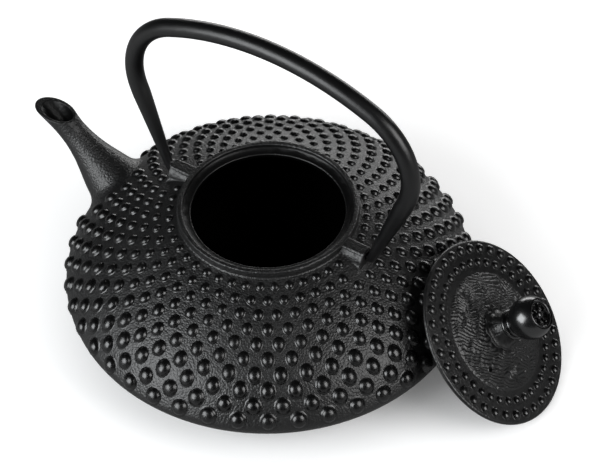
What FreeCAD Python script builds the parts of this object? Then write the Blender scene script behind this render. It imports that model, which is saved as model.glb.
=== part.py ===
"""Hobnail cast-iron teapot with a bail handle and a lid that leans on the pot.

Millimetres, +Z up. The origin is the middle of the foot ring on the table, the pot's axis is Z
and the spout points to -X. The bail's pegs lie along X. The lid is off the pot and leans on its
shoulder, on the side away from the spout.
"""

import FreeCAD
import Part
import Sketcher

import math
import os

SIZES = {
    # Pot casting: a flat, wide pot whose shoulder climbs in two arcs to a low collar.
    "body_radius": 100.0,
    "edge_height": 27.0,
    "nose_round": 6.0,
    "shoulder_start": 29.0,
    "shoulder_bend": 53.8,
    "dome_start": 55.0,
    "dome_bend": 163.0,
    "belly_start": 50.0,
    "belly_bend": 75.0,
    "wall": 3.5,
    "foot_radius": 62.0,
    "foot_width": 7.0,
    "foot_hollow": 4.0,
    # Collar and mouth: the lid's flange drops through a stepped recess.
    "collar_radius": 43.4,
    "collar_rise": 3.8,
    "collar_fillet": 1.2,
    "rim_width": 2.6,
    "rim_round": 0.8,
    "recess_depth": 3.2,
    "mouth_ledge": 3.8,
    # Lugs beside the collar, each with a blind hole for a peg of the bail.
    "lug_length": 11.6,
    "lug_top_width": 7.0,
    "lug_base_width": 14.0,
    "lug_cover": 3.4,
    "lug_round": 1.4,
    "lug_edge_round": 0.7,
    "hinge_drop": 4.0,
    "peg_radius": 1.6,
    "peg_play": 0.3,
    "peg_hole_depth": 6.5,
    # Spout: a straight slope that flares into the shoulder, cut nearly level at the lip.
    "lip_overhang": 28.5,
    "lip_rise": 44.3,
    "lip_tilt": 9.0,
    "lip_round": 0.5,
    "spout_slope": 45.0,
    "spout_overrun": 14.0,
    "spout_lip_radius": 7.9,
    "spout_throat_back": 4.1,
    "spout_throat_radius": 7.1,
    "spout_middle_back": 26.3,
    "spout_middle_radius": 8.1,
    "spout_flare_back": 37.5,
    "spout_flare_radius": 11.3,
    "spout_root_run": 18.0,
    "spout_root_rise": 3.0,
    "spout_root_slope": 10.0,
    "spout_root_radius": 14.4,
    "spout_fillet": 8.0,
    "spout_wall": 1.8,
    "bore_rise": 0.7,
    "bore_start_run": 8.0,
    "bore_start_rise": 2.5,
    "bore_start_radius": 10.0,
    # Hobnails on the shoulder, in rings that are staggered by half a pitch.
    "nails_in_ring": 44,
    "nail_rings": 10,
    "nail_first_angle": 33.0,
    "nail_ring_pitch": 6.8,
    "nail_outer_radius": 3.2,
    "nail_inner_radius": 2.1,
    "nail_steepness": 0.68,
    "nail_taper": 36.0,
    "nail_clearance": 0.4,
    # Bail: a crown arc, two corner arcs and straight legs that taper to the pegs.
    "bail_foot_gap": 2.5,
    "bail_height": 99.2,
    "bail_radius": 4.4,
    "bail_tip_radius": 2.2,
    "bail_taper": 42.0,
    "leg_lean": 19.6,
    "corner_bend": 35.5,
    "crown_bend": 134.8,
    "bail_lean": 2.0,
    # Lid: a thin disc with two nail rings round a raised middle, and a flange below.
    "lid_overhang": 1.9,
    "lid_plate": 2.2,
    "lid_band": 15.8,
    "lid_step": 0.7,
    "lid_crown": 5.4,
    "lid_dome_bend": 120.0,
    "lid_land_radius": 12.0,
    "lid_skin": 2.4,
    "flange_play": 0.8,
    "flange_wall": 2.6,
    "flange_depth": 7.1,
    "lid_nails_in_ring": 37,
    "lid_inner_inset": 11.1,
    "lid_outer_inset": 4.3,
    "lid_nail_radius": 2.2,
    "vent_radius": 1.7,
    "vent_reach": 22.0,
    "vent_angle": 278.0,
    "lid_turn": 3.8,
    "lid_lean": 43.3,
    "lid_lean_side": 10.4,
    "lid_rest_gap": 0.41,
    "lid_side": 9.5,
    # Knob on its scalloped seat, held by a stud that is peened over a washer.
    "seat_radius": 8.4,
    "seat_plate": 1.4,
    "seat_rise": 4.2,
    "seat_petals": 8,
    "petal_radius": 3.3,
    "knob_foot_radius": 6.4,
    "knob_foot_height": 2.2,
    "knob_neck_radius": 5.0,
    "knob_neck_bend": 9.0,
    "knob_radius": 10.3,
    "knob_height": 22.4,
    "knob_crown_radius": 7.6,
    "rosette_petals": 6,
    "rosette_ring": 4.3,
    "rosette_petal_radius": 1.75,
    "rosette_depth": 0.9,
    "rosette_button": 1.9,
    "stud_radius": 2.4,
    "stud_play": 0.15,
    "stud_grip": 9.0,
    "stud_head_radius": 4.2,
    "stud_head_height": 1.6,
    "washer_radius": 7.0,
    "washer_thickness": 1.2,
}

LAYOUT = {
    # Centres of the arcs that make the pot's meridian. Each arc is tangent to its neighbours.
    "nose_r": "sizes.body_radius - sizes.nose_round",
    "nose_z": "sizes.edge_height",
    "shoulder_r": "nose_r - (sizes.shoulder_bend - sizes.nose_round) * cos(sizes.shoulder_start)",
    "shoulder_z": "nose_z - (sizes.shoulder_bend - sizes.nose_round) * sin(sizes.shoulder_start)",
    "dome_r": "shoulder_r - (sizes.dome_bend - sizes.shoulder_bend) * cos(sizes.dome_start)",
    "dome_z": "shoulder_z - (sizes.dome_bend - sizes.shoulder_bend) * sin(sizes.dome_start)",
    "belly_r": "nose_r - (sizes.belly_bend - sizes.nose_round) * cos(sizes.belly_start)",
    "belly_z": "nose_z + (sizes.belly_bend - sizes.nose_round) * sin(sizes.belly_start)",
    # Heights where the arcs meet the foot, the floor, the collar and the mouth.
    "foot_top": "belly_z - sqrt(sizes.belly_bend ^ 2 - (sizes.foot_radius - belly_r) ^ 2)",
    "floor_z": "belly_z - sizes.belly_bend + sizes.wall",
    "collar_root": "dome_z + sqrt(sizes.dome_bend ^ 2 - (sizes.collar_radius - dome_r) ^ 2)",
    "rim_z": "collar_root + sizes.collar_rise",
    "ledge_z": "rim_z - sizes.recess_depth",
    "recess_radius": "sizes.collar_radius - sizes.rim_width",
    "mouth_radius": "recess_radius - sizes.mouth_ledge",
    "mouth_z": "dome_z + sqrt((sizes.dome_bend - sizes.wall) ^ 2 - (mouth_radius - dome_r) ^ 2)",
    # Hinge of the bail and the lugs round it.
    "hinge_z": "rim_z - sizes.hinge_drop",
    "lug_reach": "sizes.collar_radius + sizes.lug_length",
    "lug_top": "hinge_z + sizes.lug_cover",
    "lug_root": "dome_z + sqrt(sizes.dome_bend ^ 2 - (lug_reach - dome_r) ^ 2) - sizes.wall / 2",
    "peg_hole_radius": "sizes.peg_radius + sizes.peg_play",
    "peg_end": "lug_reach - sizes.peg_hole_depth + 2 * sizes.peg_play",
    # Reach and height of the spout's stations.
    "lip_reach": "sizes.body_radius + sizes.lip_overhang",
    "spout_root_reach": "lip_reach - sizes.spout_flare_back * cos(sizes.spout_slope) - sizes.spout_root_run",
    "bore_start_reach": "spout_root_reach - sizes.bore_start_run",
    "lip_height": "nose_z + sizes.lip_rise",
    "spout_root_height": "nose_z + sizes.spout_root_rise",
    "bore_start_height": "nose_z + sizes.bore_start_rise",
    # Bail: where each straight leg ends, the corner's centre and the crown's centre.
    "bail_foot": "lug_reach + sizes.bail_foot_gap",
    "crown_z": "sizes.bail_height - sizes.crown_bend",
    "corner_x0": "bail_foot - sizes.corner_bend * cos(sizes.leg_lean)",
    "corner_z0": "sizes.corner_bend * sin(sizes.leg_lean)",
    "corner_along": "corner_x0 * sin(sizes.leg_lean) + (corner_z0 - crown_z) * cos(sizes.leg_lean)",
    "corner_off": "corner_x0 ^ 2 + (corner_z0 - crown_z) ^ 2",
    "leg_length": "sqrt(corner_along ^ 2 - corner_off"
                  " + (sizes.crown_bend - sizes.corner_bend) ^ 2) - corner_along",
    "corner_x": "corner_x0 + leg_length * sin(sizes.leg_lean)",
    "corner_z": "corner_z0 + leg_length * cos(sizes.leg_lean)",
    "leg_end_x": "bail_foot + leg_length * sin(sizes.leg_lean)",
    "leg_end_z": "leg_length * cos(sizes.leg_lean)",
    "crown_end_x": "corner_x * sizes.crown_bend / (sizes.crown_bend - sizes.corner_bend)",
    "crown_end_z": "crown_z + (corner_z - crown_z)"
                   " * sizes.crown_bend / (sizes.crown_bend - sizes.corner_bend)",
    # Lid: it covers the collar, and its flange fits the mouth.
    "lid_radius": "sizes.collar_radius + sizes.lid_overhang",
    "lid_middle_radius": "lid_radius - sizes.lid_band",
    "lid_inner_ring": "lid_radius - sizes.lid_inner_inset",
    "lid_outer_ring": "lid_radius - sizes.lid_outer_inset",
    "flange_radius": "mouth_radius - sizes.flange_play",
    "flange_bore": "flange_radius - sizes.flange_wall",
    "edge_round": "sizes.lid_plate / 2",
    "middle_top": "sizes.lid_plate + sizes.lid_step",
    "land_under": "sizes.lid_crown - sizes.lid_skin",
    # Lean of the lid: its edge stands on the table and its flange rests on the shoulder's nails.
    "lid_z": "(lid_radius - edge_round) * sin(sizes.lid_lean)"
             " + edge_round * (1 - cos(sizes.lid_lean))",
    "rest_z": "lid_z + flange_radius * sin(sizes.lid_lean) - sizes.flange_depth * cos(sizes.lid_lean)",
    "rest_bend": "sizes.shoulder_bend + sizes.nail_outer_radius * sizes.nail_steepness + sizes.lid_rest_gap",
    "rest_r": "shoulder_r + sqrt(rest_bend ^ 2 - (rest_z - shoulder_z) ^ 2)",
    "lid_reach": "rest_r + flange_radius * cos(sizes.lid_lean) + sizes.flange_depth * sin(sizes.lid_lean)",
    # Knob stack above and below the lid.
    "seat_top": "sizes.lid_crown + sizes.seat_rise",
    "stud_hole_radius": "sizes.stud_radius + sizes.stud_play",
    "washer_low": "land_under - sizes.washer_thickness",
    "knob_top": "seat_top + sizes.knob_height",
    "ball_z": "knob_top - sqrt(sizes.knob_radius ^ 2 - sizes.knob_crown_radius ^ 2)",
    "ball_low": "ball_z - sqrt(sizes.knob_radius ^ 2 - sizes.knob_neck_radius ^ 2)",
    "foot_round": "sizes.knob_foot_height / 2",
    "stud_top": "seat_top + sizes.stud_grip",
    "stud_low": "washer_low - sizes.stud_head_height",
}

doc = FreeCAD.newDocument("hobnail_teapot")
sizes = doc.addObject("Spreadsheet::Sheet", "sizes")
layout = doc.addObject("Spreadsheet::Sheet", "layout")


def fill_sheet(sheet, cells, prefix=""):
    """Write one named cell per entry, with the name in column A and the value in column B."""
    for row, (alias, content) in enumerate(cells.items(), start=1):
        sheet.set(f"A{row}", alias)
        sheet.set(f"B{row}", f"{prefix}{content}")
        sheet.setAlias(f"B{row}", alias)
    doc.recompute()


def value(expression):
    """Number that an expression in the sheets' names stands for."""
    result = layout.evalExpression(expression)
    return float(getattr(result, "Value", result))


def origin_plane(body, role):
    """One of the body's own origin planes, by its role, such as XY_Plane."""
    for feature in body.Origin.OriginFeatures:
        if feature.Role == role:
            return feature
    raise ValueError(role)


def new_body(label, place=None):
    """Empty body with its own label and place."""
    body = doc.addObject("PartDesign::Body", label)
    body.Label = label
    if place is not None:
        body.Placement = place
    return body


def new_sketch(body, name, plane="XZ_Plane", shift=None, turn=None):
    """Sketch on one of the body's origin planes.

    shift holds expressions for the plane's offset along its own axes, and turn is an axis with
    an expression for the angle about it.
    """
    sketch = body.newObject("Sketcher::SketchObject", name)
    sketch.AttachmentSupport = [(origin_plane(body, plane), "")]
    sketch.MapMode = "FlatFace"
    if turn is not None:
        axis, angle = turn
        start = FreeCAD.Rotation(axis, value(angle))
        sketch.AttachmentOffset = FreeCAD.Placement(FreeCAD.Vector(), start)
        sketch.setExpression("AttachmentOffset.Rotation.Angle", f"({angle}) * 1 deg")
    for axis_name, expression in (shift or {}).items():
        sketch.setExpression(f"AttachmentOffset.Base.{axis_name}", f"({expression}) * 1 mm")
    doc.recompute()
    return sketch


def bind(sketch, kind, *places, expression):
    """Add a constraint whose size follows an expression."""
    size = value(expression)
    index = sketch.addConstraint(Sketcher.Constraint(kind, *places, size))
    sketch.setExpression(f"Constraints[{index}]", expression)


def pin_point(sketch, edge, end, across, along):
    """Hold one end of an edge at a distance from the sketch's axes."""
    for kind, axis, expression in (("DistanceX", -2, across), ("DistanceY", -1, along)):
        if abs(value(expression)) < 1e-9:
            sketch.addConstraint(Sketcher.Constraint("PointOnObject", edge, end, axis))
        else:
            bind(sketch, kind, -1, 1, edge, end, expression=expression)


def arc_between(start, finish, radius):
    """Arc from start to finish that bulges to the right of its travel, or left if radius < 0."""
    middle = (start + finish) * 0.5
    chord = finish - start
    rise = math.sqrt(max(radius ** 2 - (chord.Length / 2) ** 2, 0.0))
    left = FreeCAD.Vector(-chord.y, chord.x, 0).normalize()
    centre = middle + left * math.copysign(rise, radius)
    first, last = (start, finish) if radius > 0 else (finish, start)
    angles = [math.atan2(end.y - centre.y, end.x - centre.x) for end in (first, last)]
    circle = Part.Circle(centre, FreeCAD.Vector(0, 0, 1), abs(radius))
    return Part.ArcOfCircle(circle, *angles)


def draw_outline(sketch, corners, bends=None):
    """Closed outline through corners, each a pair of expressions, taken anticlockwise.

    bends gives the radius of the arc that leaves a corner, by the corner's index: the arc is
    convex, or concave where the radius is negative.
    """
    bends = bends or {}
    points = [FreeCAD.Vector(value(across), value(along), 0) for across, along in corners]
    starts, ends = [], []
    for index, start in enumerate(points):
        finish = points[(index + 1) % len(points)]
        if index in bends:
            radius = value(bends[index])
            edge = sketch.addGeometry(arc_between(start, finish, radius))
            order = (1, 2) if radius > 0 else (2, 1)
        else:
            edge = sketch.addGeometry(Part.LineSegment(start, finish))
            order = (1, 2)
        starts.append((edge, order[0]))
        ends.append((edge, order[1]))
    for index in range(len(points)):
        following = starts[(index + 1) % len(points)]
        sketch.addConstraint(Sketcher.Constraint("Coincident", *ends[index], *following))
    for (edge, end), (across, along) in zip(starts, corners):
        pin_point(sketch, edge, end, across, along)
    for index, expression in bends.items():
        bind(sketch, "Radius", starts[index][0], expression=f"abs({expression})")
    return sketch


def draw_circle(sketch, radius, across="0", along="0"):
    """Circle at a place in the sketch."""
    centre = FreeCAD.Vector(value(across), value(along), 0)
    edge = sketch.addGeometry(Part.Circle(centre, FreeCAD.Vector(0, 0, 1), value(radius)))
    pin_point(sketch, edge, 3, across, along)
    bind(sketch, "Radius", edge, expression=radius)
    return sketch


def spin(body, name, sketch, kind="Revolution", axis="V_Axis"):
    """Full turn of a sketch about one of its axes, added or, as a Groove, taken away."""
    feature = body.newObject(f"PartDesign::{kind}", name)
    feature.Profile = sketch
    feature.ReferenceAxis = (sketch, [axis])
    feature.Angle = 360
    doc.recompute()
    return feature


def extrude(body, name, sketch, length, kind="Pad", reverse=False):
    """Pad or pocket of a sketch along its normal."""
    feature = body.newObject(f"PartDesign::{kind}", name)
    feature.Profile = sketch
    feature.setExpression("Length", f"({length}) * 1 mm")
    feature.Reversed = reverse
    doc.recompute()
    return feature


def loft(body, name, sketches, kind="AdditiveLoft"):
    """Loft through sketches in order."""
    feature = body.newObject(f"PartDesign::{kind}", name)
    feature.Profile = sketches[0]
    feature.Sections = sketches[1:]
    doc.recompute()
    return feature


def mirror_across_yz(body, name, features):
    """Copy of features on the other side of the body's YZ plane."""
    feature = body.newObject("PartDesign::Mirrored", name)
    feature.Originals = features
    feature.MirrorPlane = (origin_plane(body, "YZ_Plane"), [""])
    body.Tip = feature
    doc.recompute()
    return feature


def turn_about_z(body, name, features, count):
    """Even polar pattern of features round the body's Z axis."""
    feature = body.newObject("PartDesign::PolarPattern", name)
    feature.Originals = features
    feature.Axis = (origin_plane(body, "Z_Axis"), [""])
    feature.Angle = 360
    feature.Occurrences = int(value(count))
    feature.setExpression("Occurrences", count)
    body.Tip = feature
    doc.recompute()
    return feature


def round_edges(body, name, radius, wanted):
    """Fillet of the edges of the body's tip that a test picks."""
    tip = body.Tip
    found = [f"Edge{number}" for number, edge in enumerate(tip.Shape.Edges, start=1) if wanted(edge)]
    feature = body.newObject("PartDesign::Fillet", name)
    feature.Base = (tip, found)
    feature.setExpression("Radius", f"({radius}) * 1 mm")
    doc.recompute()
    return feature


def added_shape(feature):
    """Solid that a feature adds, in the body's own frame."""
    shape = feature.AddSubShape.copy()
    shape.Placement = feature.Placement.multiply(shape.Placement)
    return shape


def is_ring(edge, radius, height):
    """Whether an edge is a level circle of a radius at a height."""
    if not isinstance(edge.Curve, Part.Circle):
        return False
    same_radius = abs(edge.Curve.Radius - value(radius)) < 1e-4
    return same_radius and abs(edge.Curve.Center.z - value(height)) < 1e-4


ALONG_Y = FreeCAD.Vector(0, 1, 0)
ALONG_Z = FreeCAD.Vector(0, 0, 1)


def on_arc(centre, radius, angle):
    """Expressions for the point of an arc of the meridian at an angle above level."""
    across = f"layout.{centre}_r + ({radius}) * cos({angle})"
    along = f"layout.{centre}_z + ({radius}) * sin({angle})"
    return across, along


def draw_meridian(body):
    """Outside of the pot in section, from the foot's hollow round to the rim."""
    inner_foot = "sizes.foot_radius - sizes.foot_width"
    corners = [
        ("0", "sizes.foot_hollow"),
        (inner_foot, "sizes.foot_hollow"),
        (inner_foot, "0"),
        ("sizes.foot_radius", "0"),
        ("sizes.foot_radius", "layout.foot_top"),
        on_arc("nose", "sizes.nose_round", "-sizes.belly_start"),
        on_arc("nose", "sizes.nose_round", "sizes.shoulder_start"),
        on_arc("shoulder", "sizes.shoulder_bend", "sizes.dome_start"),
        ("sizes.collar_radius", "layout.collar_root"),
        ("sizes.collar_radius", "layout.rim_z"),
        ("0", "layout.rim_z"),
    ]
    bends = {
        4: "sizes.belly_bend",
        5: "sizes.nose_round",
        6: "sizes.shoulder_bend",
        7: "sizes.dome_bend",
    }
    return draw_outline(new_sketch(body, "meridian"), corners, bends)


def draw_hollow(body):
    """Inside of the pot in section: floor, walls and dome one wall in, mouth, ledge and recess."""
    nose = "sizes.nose_round - sizes.wall"
    shoulder = "sizes.shoulder_bend - sizes.wall"
    above_rim = "layout.rim_z + sizes.wall"
    corners = [
        ("0", "layout.floor_z"),
        ("layout.belly_r", "layout.floor_z"),
        on_arc("nose", nose, "-sizes.belly_start"),
        on_arc("nose", nose, "sizes.shoulder_start"),
        on_arc("shoulder", shoulder, "sizes.dome_start"),
        ("layout.mouth_radius", "layout.mouth_z"),
        ("layout.mouth_radius", "layout.ledge_z"),
        ("layout.recess_radius", "layout.ledge_z"),
        ("layout.recess_radius", above_rim),
        ("0", above_rim),
    ]
    bends = {
        1: "sizes.belly_bend - sizes.wall",
        2: nose,
        3: shoulder,
        4: "sizes.dome_bend - sizes.wall",
    }
    return draw_outline(new_sketch(body, "hollow"), corners, bends)


def add_lugs(body):
    """Two lugs that run out from the collar, each a block with sloping sides and a round top."""
    start = "layout.recess_radius"
    half_base = "sizes.lug_base_width / 2"
    half_top = "sizes.lug_top_width / 2"
    shoulder = "layout.lug_top - sizes.lug_round"
    sketch = new_sketch(body, "lug_section", "YZ_Plane", shift={"z": start})
    corners = [
        (f"-({half_base})", "layout.lug_root"),
        (half_base, "layout.lug_root"),
        (half_top, shoulder),
        (f"{half_top} - sizes.lug_round", "layout.lug_top"),
        (f"-({half_top} - sizes.lug_round)", "layout.lug_top"),
        (f"-({half_top})", shoulder),
    ]
    draw_outline(sketch, corners, {2: "sizes.lug_round", 4: "sizes.lug_round"})
    lug = extrude(body, "lug", sketch, f"layout.lug_reach - {start}")
    mirror_across_yz(body, "lug_pair", [lug])
    round_edges(body, "lug_ends", "sizes.lug_edge_round", is_lug_end)
    return lug


def is_lug_end(edge):
    """Whether an edge bounds the outer face of a lug, clear of the shoulder."""
    at_end = all(abs(abs(corner.X) - value("layout.lug_reach")) < 1e-4 for corner in edge.Vertexes)
    return at_end and edge.CenterOfMass.z > value("layout.lug_root + sizes.wall")


def add_peg_holes(body):
    """Blind hole in the outer face of each lug, on the bail's hinge line."""
    sketch = new_sketch(body, "peg_hole_circle", "YZ_Plane", shift={"z": "layout.lug_reach"})
    draw_circle(sketch, "layout.peg_hole_radius", along="layout.hinge_z")
    hole = extrude(body, "peg_hole", sketch, "sizes.peg_hole_depth", kind="Pocket")
    mirror_across_yz(body, "peg_hole_pair", [hole])


def on_slope(back, rise="0"):
    """Station on the spout's straight slope, a distance back from the middle of the lip.

    rise moves it off the slope's line, towards the pot.
    """
    reach = f"layout.lip_reach - ({back}) * cos(sizes.spout_slope) - ({rise}) * sin(sizes.spout_slope)"
    height = f"layout.lip_height - ({back}) * sin(sizes.spout_slope) + ({rise}) * cos(sizes.spout_slope)"
    return reach, height, "sizes.spout_slope"


def spout_stations(rise="0"):
    """Stations of the spout by name, from inside the shoulder to past the lip."""
    root = ("layout.spout_root_reach", "layout.spout_root_height", "sizes.spout_root_slope")
    return {
        "root": root,
        "flare": on_slope("sizes.spout_flare_back"),
        "middle": on_slope("sizes.spout_middle_back"),
        "throat": on_slope("sizes.spout_throat_back", rise),
        "lip": on_slope("-sizes.spout_overrun", rise),
    }


def spout_ring(body, name, station, radius):
    """Circle round the spout's axis at a station, square to the axis."""
    reach, height, slope = station
    shift = {"x": f"-({reach})", "z": height}
    sketch = new_sketch(body, name, "XY_Plane", shift, turn=(ALONG_Y, f"{slope} - 90"))
    return draw_circle(sketch, radius)


def add_spout(body):
    """Outside of the spout, lofted from inside the shoulder to past the lip."""
    rings = []
    for name, station in spout_stations().items():
        rings.append(spout_ring(body, f"spout_{name}", station, f"sizes.spout_{name}_radius"))
    return loft(body, "spout", rings)


def bore_spout(body):
    """Bore of the spout, which starts inside the pot's hollow and leaves a thick front lip."""
    start = ("layout.bore_start_reach", "layout.bore_start_height", "sizes.spout_root_slope")
    rings = [spout_ring(body, "bore_start", start, "sizes.bore_start_radius")]
    for name, station in spout_stations("sizes.bore_rise").items():
        radius = f"sizes.spout_{name}_radius - sizes.spout_wall"
        rings.append(spout_ring(body, f"bore_{name}", station, radius))
    return loft(body, "bore", rings, kind="SubtractiveLoft")


def cut_lip(body):
    """Trim the spout's end along the lip's plane, which dips a little away from the pot."""
    shift = {"x": "-layout.lip_reach", "z": "layout.lip_height"}
    sketch = new_sketch(body, "lip_plane", "XY_Plane", shift, turn=(ALONG_Y, "-sizes.lip_tilt"))
    draw_circle(sketch, "2 * sizes.spout_overrun")
    return extrude(body, "lip_cut", sketch, "2 * sizes.spout_overrun", kind="Pocket", reverse=True)


def is_spout_root(edge):
    """Whether an edge is where the spout meets the outside of the pot."""
    if edge.BoundBox.XMax > -value("layout.shoulder_r") or isinstance(edge.Curve, Part.Circle):
        return False
    point = edge.valueAt((edge.FirstParameter + edge.LastParameter) / 2)
    reach = math.hypot(point.x, point.y)
    for name, bend in (("shoulder", "shoulder_bend"), ("nose", "nose_round"), ("belly", "belly_bend")):
        off = math.hypot(reach - value(f"layout.{name}_r"), point.z - value(f"layout.{name}_z"))
        if abs(off - value(f"sizes.{bend}")) < 1e-3:
            return True
    return False


def on_lip(edge):
    """Whether an edge lies in the plane of the spout's lip."""
    tilt = math.radians(value("sizes.lip_tilt"))
    normal = FreeCAD.Vector(-math.sin(tilt), 0, math.cos(tilt))
    middle = FreeCAD.Vector(-value("layout.lip_reach"), 0, value("layout.lip_height"))
    points = [corner.Point for corner in edge.Vertexes] + [edge.CenterOfMass]
    return all(abs((point - middle).dot(normal)) < 1e-3 for point in points)


def build_pot():
    """The pot's casting: spun outside, lugs, spout, spun hollow, bore, lip and peg holes.

    Returns the body, its two lugs and its spout.
    """
    body = new_body("pot_body")
    spin(body, "outside", draw_meridian(body))
    root = ("sizes.collar_radius", "layout.collar_root")
    round_edges(body, "collar_root", "sizes.collar_fillet", lambda edge: is_ring(edge, *root))
    lug = add_lugs(body)
    spout = add_spout(body)
    round_edges(body, "spout_root_edges", "sizes.spout_fillet", is_spout_root)
    spin(body, "inside", draw_hollow(body), kind="Groove")
    bore_spout(body)
    cut_lip(body)
    round_edges(body, "lip_edges", "sizes.lip_round", on_lip)
    add_peg_holes(body)
    rim = ("sizes.collar_radius", "layout.recess_radius")
    round_edges(
        body,
        "rim_edges",
        "sizes.rim_round",
        lambda edge: any(is_ring(edge, radius, "layout.rim_z") for radius in rim),
    )
    lug_shape = added_shape(lug)
    other_lug = lug_shape.mirror(FreeCAD.Vector(), FreeCAD.Vector(1, 0, 0))
    return body, [lug_shape, other_lug], added_shape(spout)


def nail_solid(radius):
    """Six-sided stud with a flat base on XY: broad at the foot and blunt on top."""
    rise = radius * value("sizes.nail_steepness")
    lost = rise * math.tan(math.radians(value("sizes.nail_taper"))) / math.cos(math.radians(30))
    wires = []
    for height, reach in ((0.0, radius), (rise, radius - lost)):
        turns = [math.radians(60 * corner) for corner in range(7)]
        points = [FreeCAD.Vector(reach * math.cos(turn), reach * math.sin(turn), height) for turn in turns]
        wires.append(Part.makePolygon(points))
    return Part.makeLoft(wires, True, True)


def nail_ring_place(ring):
    """Angle above level, radius from the axis and height of one ring of nails on the shoulder."""
    first = value("sizes.nail_first_angle")
    turn = value("sizes.dome_start")
    along = ring * value("sizes.nail_ring_pitch")
    on_shoulder = value("sizes.shoulder_bend") * math.radians(turn - first)
    if along <= on_shoulder:
        name, start, travel = "shoulder", first, along
    else:
        name, start, travel = "dome", turn, along - on_shoulder
    bend = value(f"sizes.{name}_bend")
    angle = math.radians(start) + travel / bend
    reach = value(f"layout.{name}_r") + bend * math.cos(angle)
    height = value(f"layout.{name}_z") + bend * math.sin(angle)
    return angle, reach, height


def is_near(shape, other, clearance):
    """Whether two shapes come within a clearance, measured only where their boxes do."""
    reach = FreeCAD.BoundBox(shape.BoundBox)
    reach.enlarge(clearance)
    return reach.intersect(other.BoundBox) and shape.distToShape(other)[0] <= clearance


def build_hobnails(pot_shape, lugs, spout):
    """Staggered rings of nails seated on the shoulder, left out where a lug or the spout is.

    A nail near the spout stays only where it stands clear of the fillet at the spout's root.
    """
    count = int(value("sizes.nails_in_ring"))
    rings = int(value("sizes.nail_rings"))
    outer = value("sizes.nail_outer_radius")
    inner = value("sizes.nail_inner_radius")
    clearance = value("sizes.nail_clearance")
    fillet = value("sizes.spout_fillet")
    collar = value("sizes.collar_radius + sizes.collar_fillet")
    nails = []
    for ring in range(rings):
        angle, reach, height = nail_ring_place(ring)
        radius = outer + (inner - outer) * ring / (rings - 1)
        if reach - radius < collar + clearance:
            break
        stud = nail_solid(radius)
        tilt = FreeCAD.Rotation(ALONG_Y, 90 - math.degrees(angle))
        for index in range(count):
            turn = FreeCAD.Rotation(ALONG_Z, (index + ring % 2 / 2) * 360 / count)
            place = turn.multVec(FreeCAD.Vector(reach, 0, height))
            nail = stud.copy()
            nail.Placement = FreeCAD.Placement(place, turn.multiply(tilt))
            if any(is_near(nail, obstacle, clearance) for obstacle in (*lugs, spout)):
                continue
            if is_near(nail, spout, fillet) and nail.common(pot_shape).Volume > 1e-3:
                continue
            nails.append(nail)
    feature = doc.addObject("Part::Feature", "shoulder_hobnails")
    feature.Label = "shoulder_hobnails"
    feature.Shape = Part.makeCompound(nails)
    feature.Placement = FreeCAD.Placement()
    return feature


def draw_arcs(sketch, ends, bends):
    """Open chain of arcs through ends, each a pair of expressions, with one radius per arc."""
    points = [FreeCAD.Vector(value(across), value(along), 0) for across, along in ends]
    edges = []
    for start, finish, radius in zip(points, points[1:], bends):
        edges.append(sketch.addGeometry(arc_between(start, finish, value(radius))))
    for edge, following in zip(edges, edges[1:]):
        sketch.addConstraint(Sketcher.Constraint("Coincident", edge, 2, following, 1))
    for edge, (across, along) in zip(edges, ends):
        pin_point(sketch, edge, 1, across, along)
    pin_point(sketch, edges[-1], 2, *ends[-1])
    for edge, radius in zip(edges, bends):
        bind(sketch, "Radius", edge, expression=radius)
    return sketch


def build_bail():
    """The bail: crown and corners swept as one pipe, legs spun about their own axes, pegs."""
    body = new_body("bail_handle")
    body.Placement = FreeCAD.Placement(
        FreeCAD.Vector(0, 0, value("layout.hinge_z")),
        FreeCAD.Rotation(FreeCAD.Vector(1, 0, 0), -value("sizes.bail_lean")),
    )
    body.setExpression("Placement.Base.z", "layout.hinge_z * 1 mm")

    path = new_sketch(body, "hoop")
    ends = [
        ("layout.leg_end_x", "layout.leg_end_z"),
        ("layout.crown_end_x", "layout.crown_end_z"),
        ("-layout.crown_end_x", "layout.crown_end_z"),
        ("-layout.leg_end_x", "layout.leg_end_z"),
    ]
    bends = ["sizes.corner_bend", "sizes.crown_bend", "sizes.corner_bend"]
    draw_arcs(path, ends, bends)
    section = new_sketch(
        body,
        "hoop_section",
        "XY_Plane",
        shift={"x": "layout.leg_end_x", "z": "layout.leg_end_z"},
        turn=(ALONG_Y, "sizes.leg_lean"),
    )
    draw_circle(section, "sizes.bail_radius")
    pipe = body.newObject("PartDesign::AdditivePipe", "crown_and_corners")
    pipe.Profile = section
    pipe.Spine = (path, [])
    doc.recompute()

    leg_section = new_sketch(
        body,
        "leg_section",
        "XZ_Plane",
        shift={"x": "layout.bail_foot"},
        turn=(ALONG_Z, "-sizes.leg_lean"),
    )
    corners = [
        ("0", "-sizes.bail_tip_radius"),
        ("sizes.bail_tip_radius", "0"),
        ("sizes.bail_radius", "sizes.bail_taper"),
        ("sizes.bail_radius", "layout.leg_length"),
        ("0", "layout.leg_length"),
    ]
    draw_outline(leg_section, corners, {0: "sizes.bail_tip_radius"})
    leg = spin(body, "leg", leg_section)
    peg_circle = new_sketch(body, "peg_circle", "YZ_Plane", shift={"z": "layout.peg_end"})
    draw_circle(peg_circle, "sizes.peg_radius")
    peg = extrude(body, "peg", peg_circle, "layout.bail_foot - layout.peg_end")
    mirror_across_yz(body, "other_leg", [leg, peg])
    return body


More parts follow.
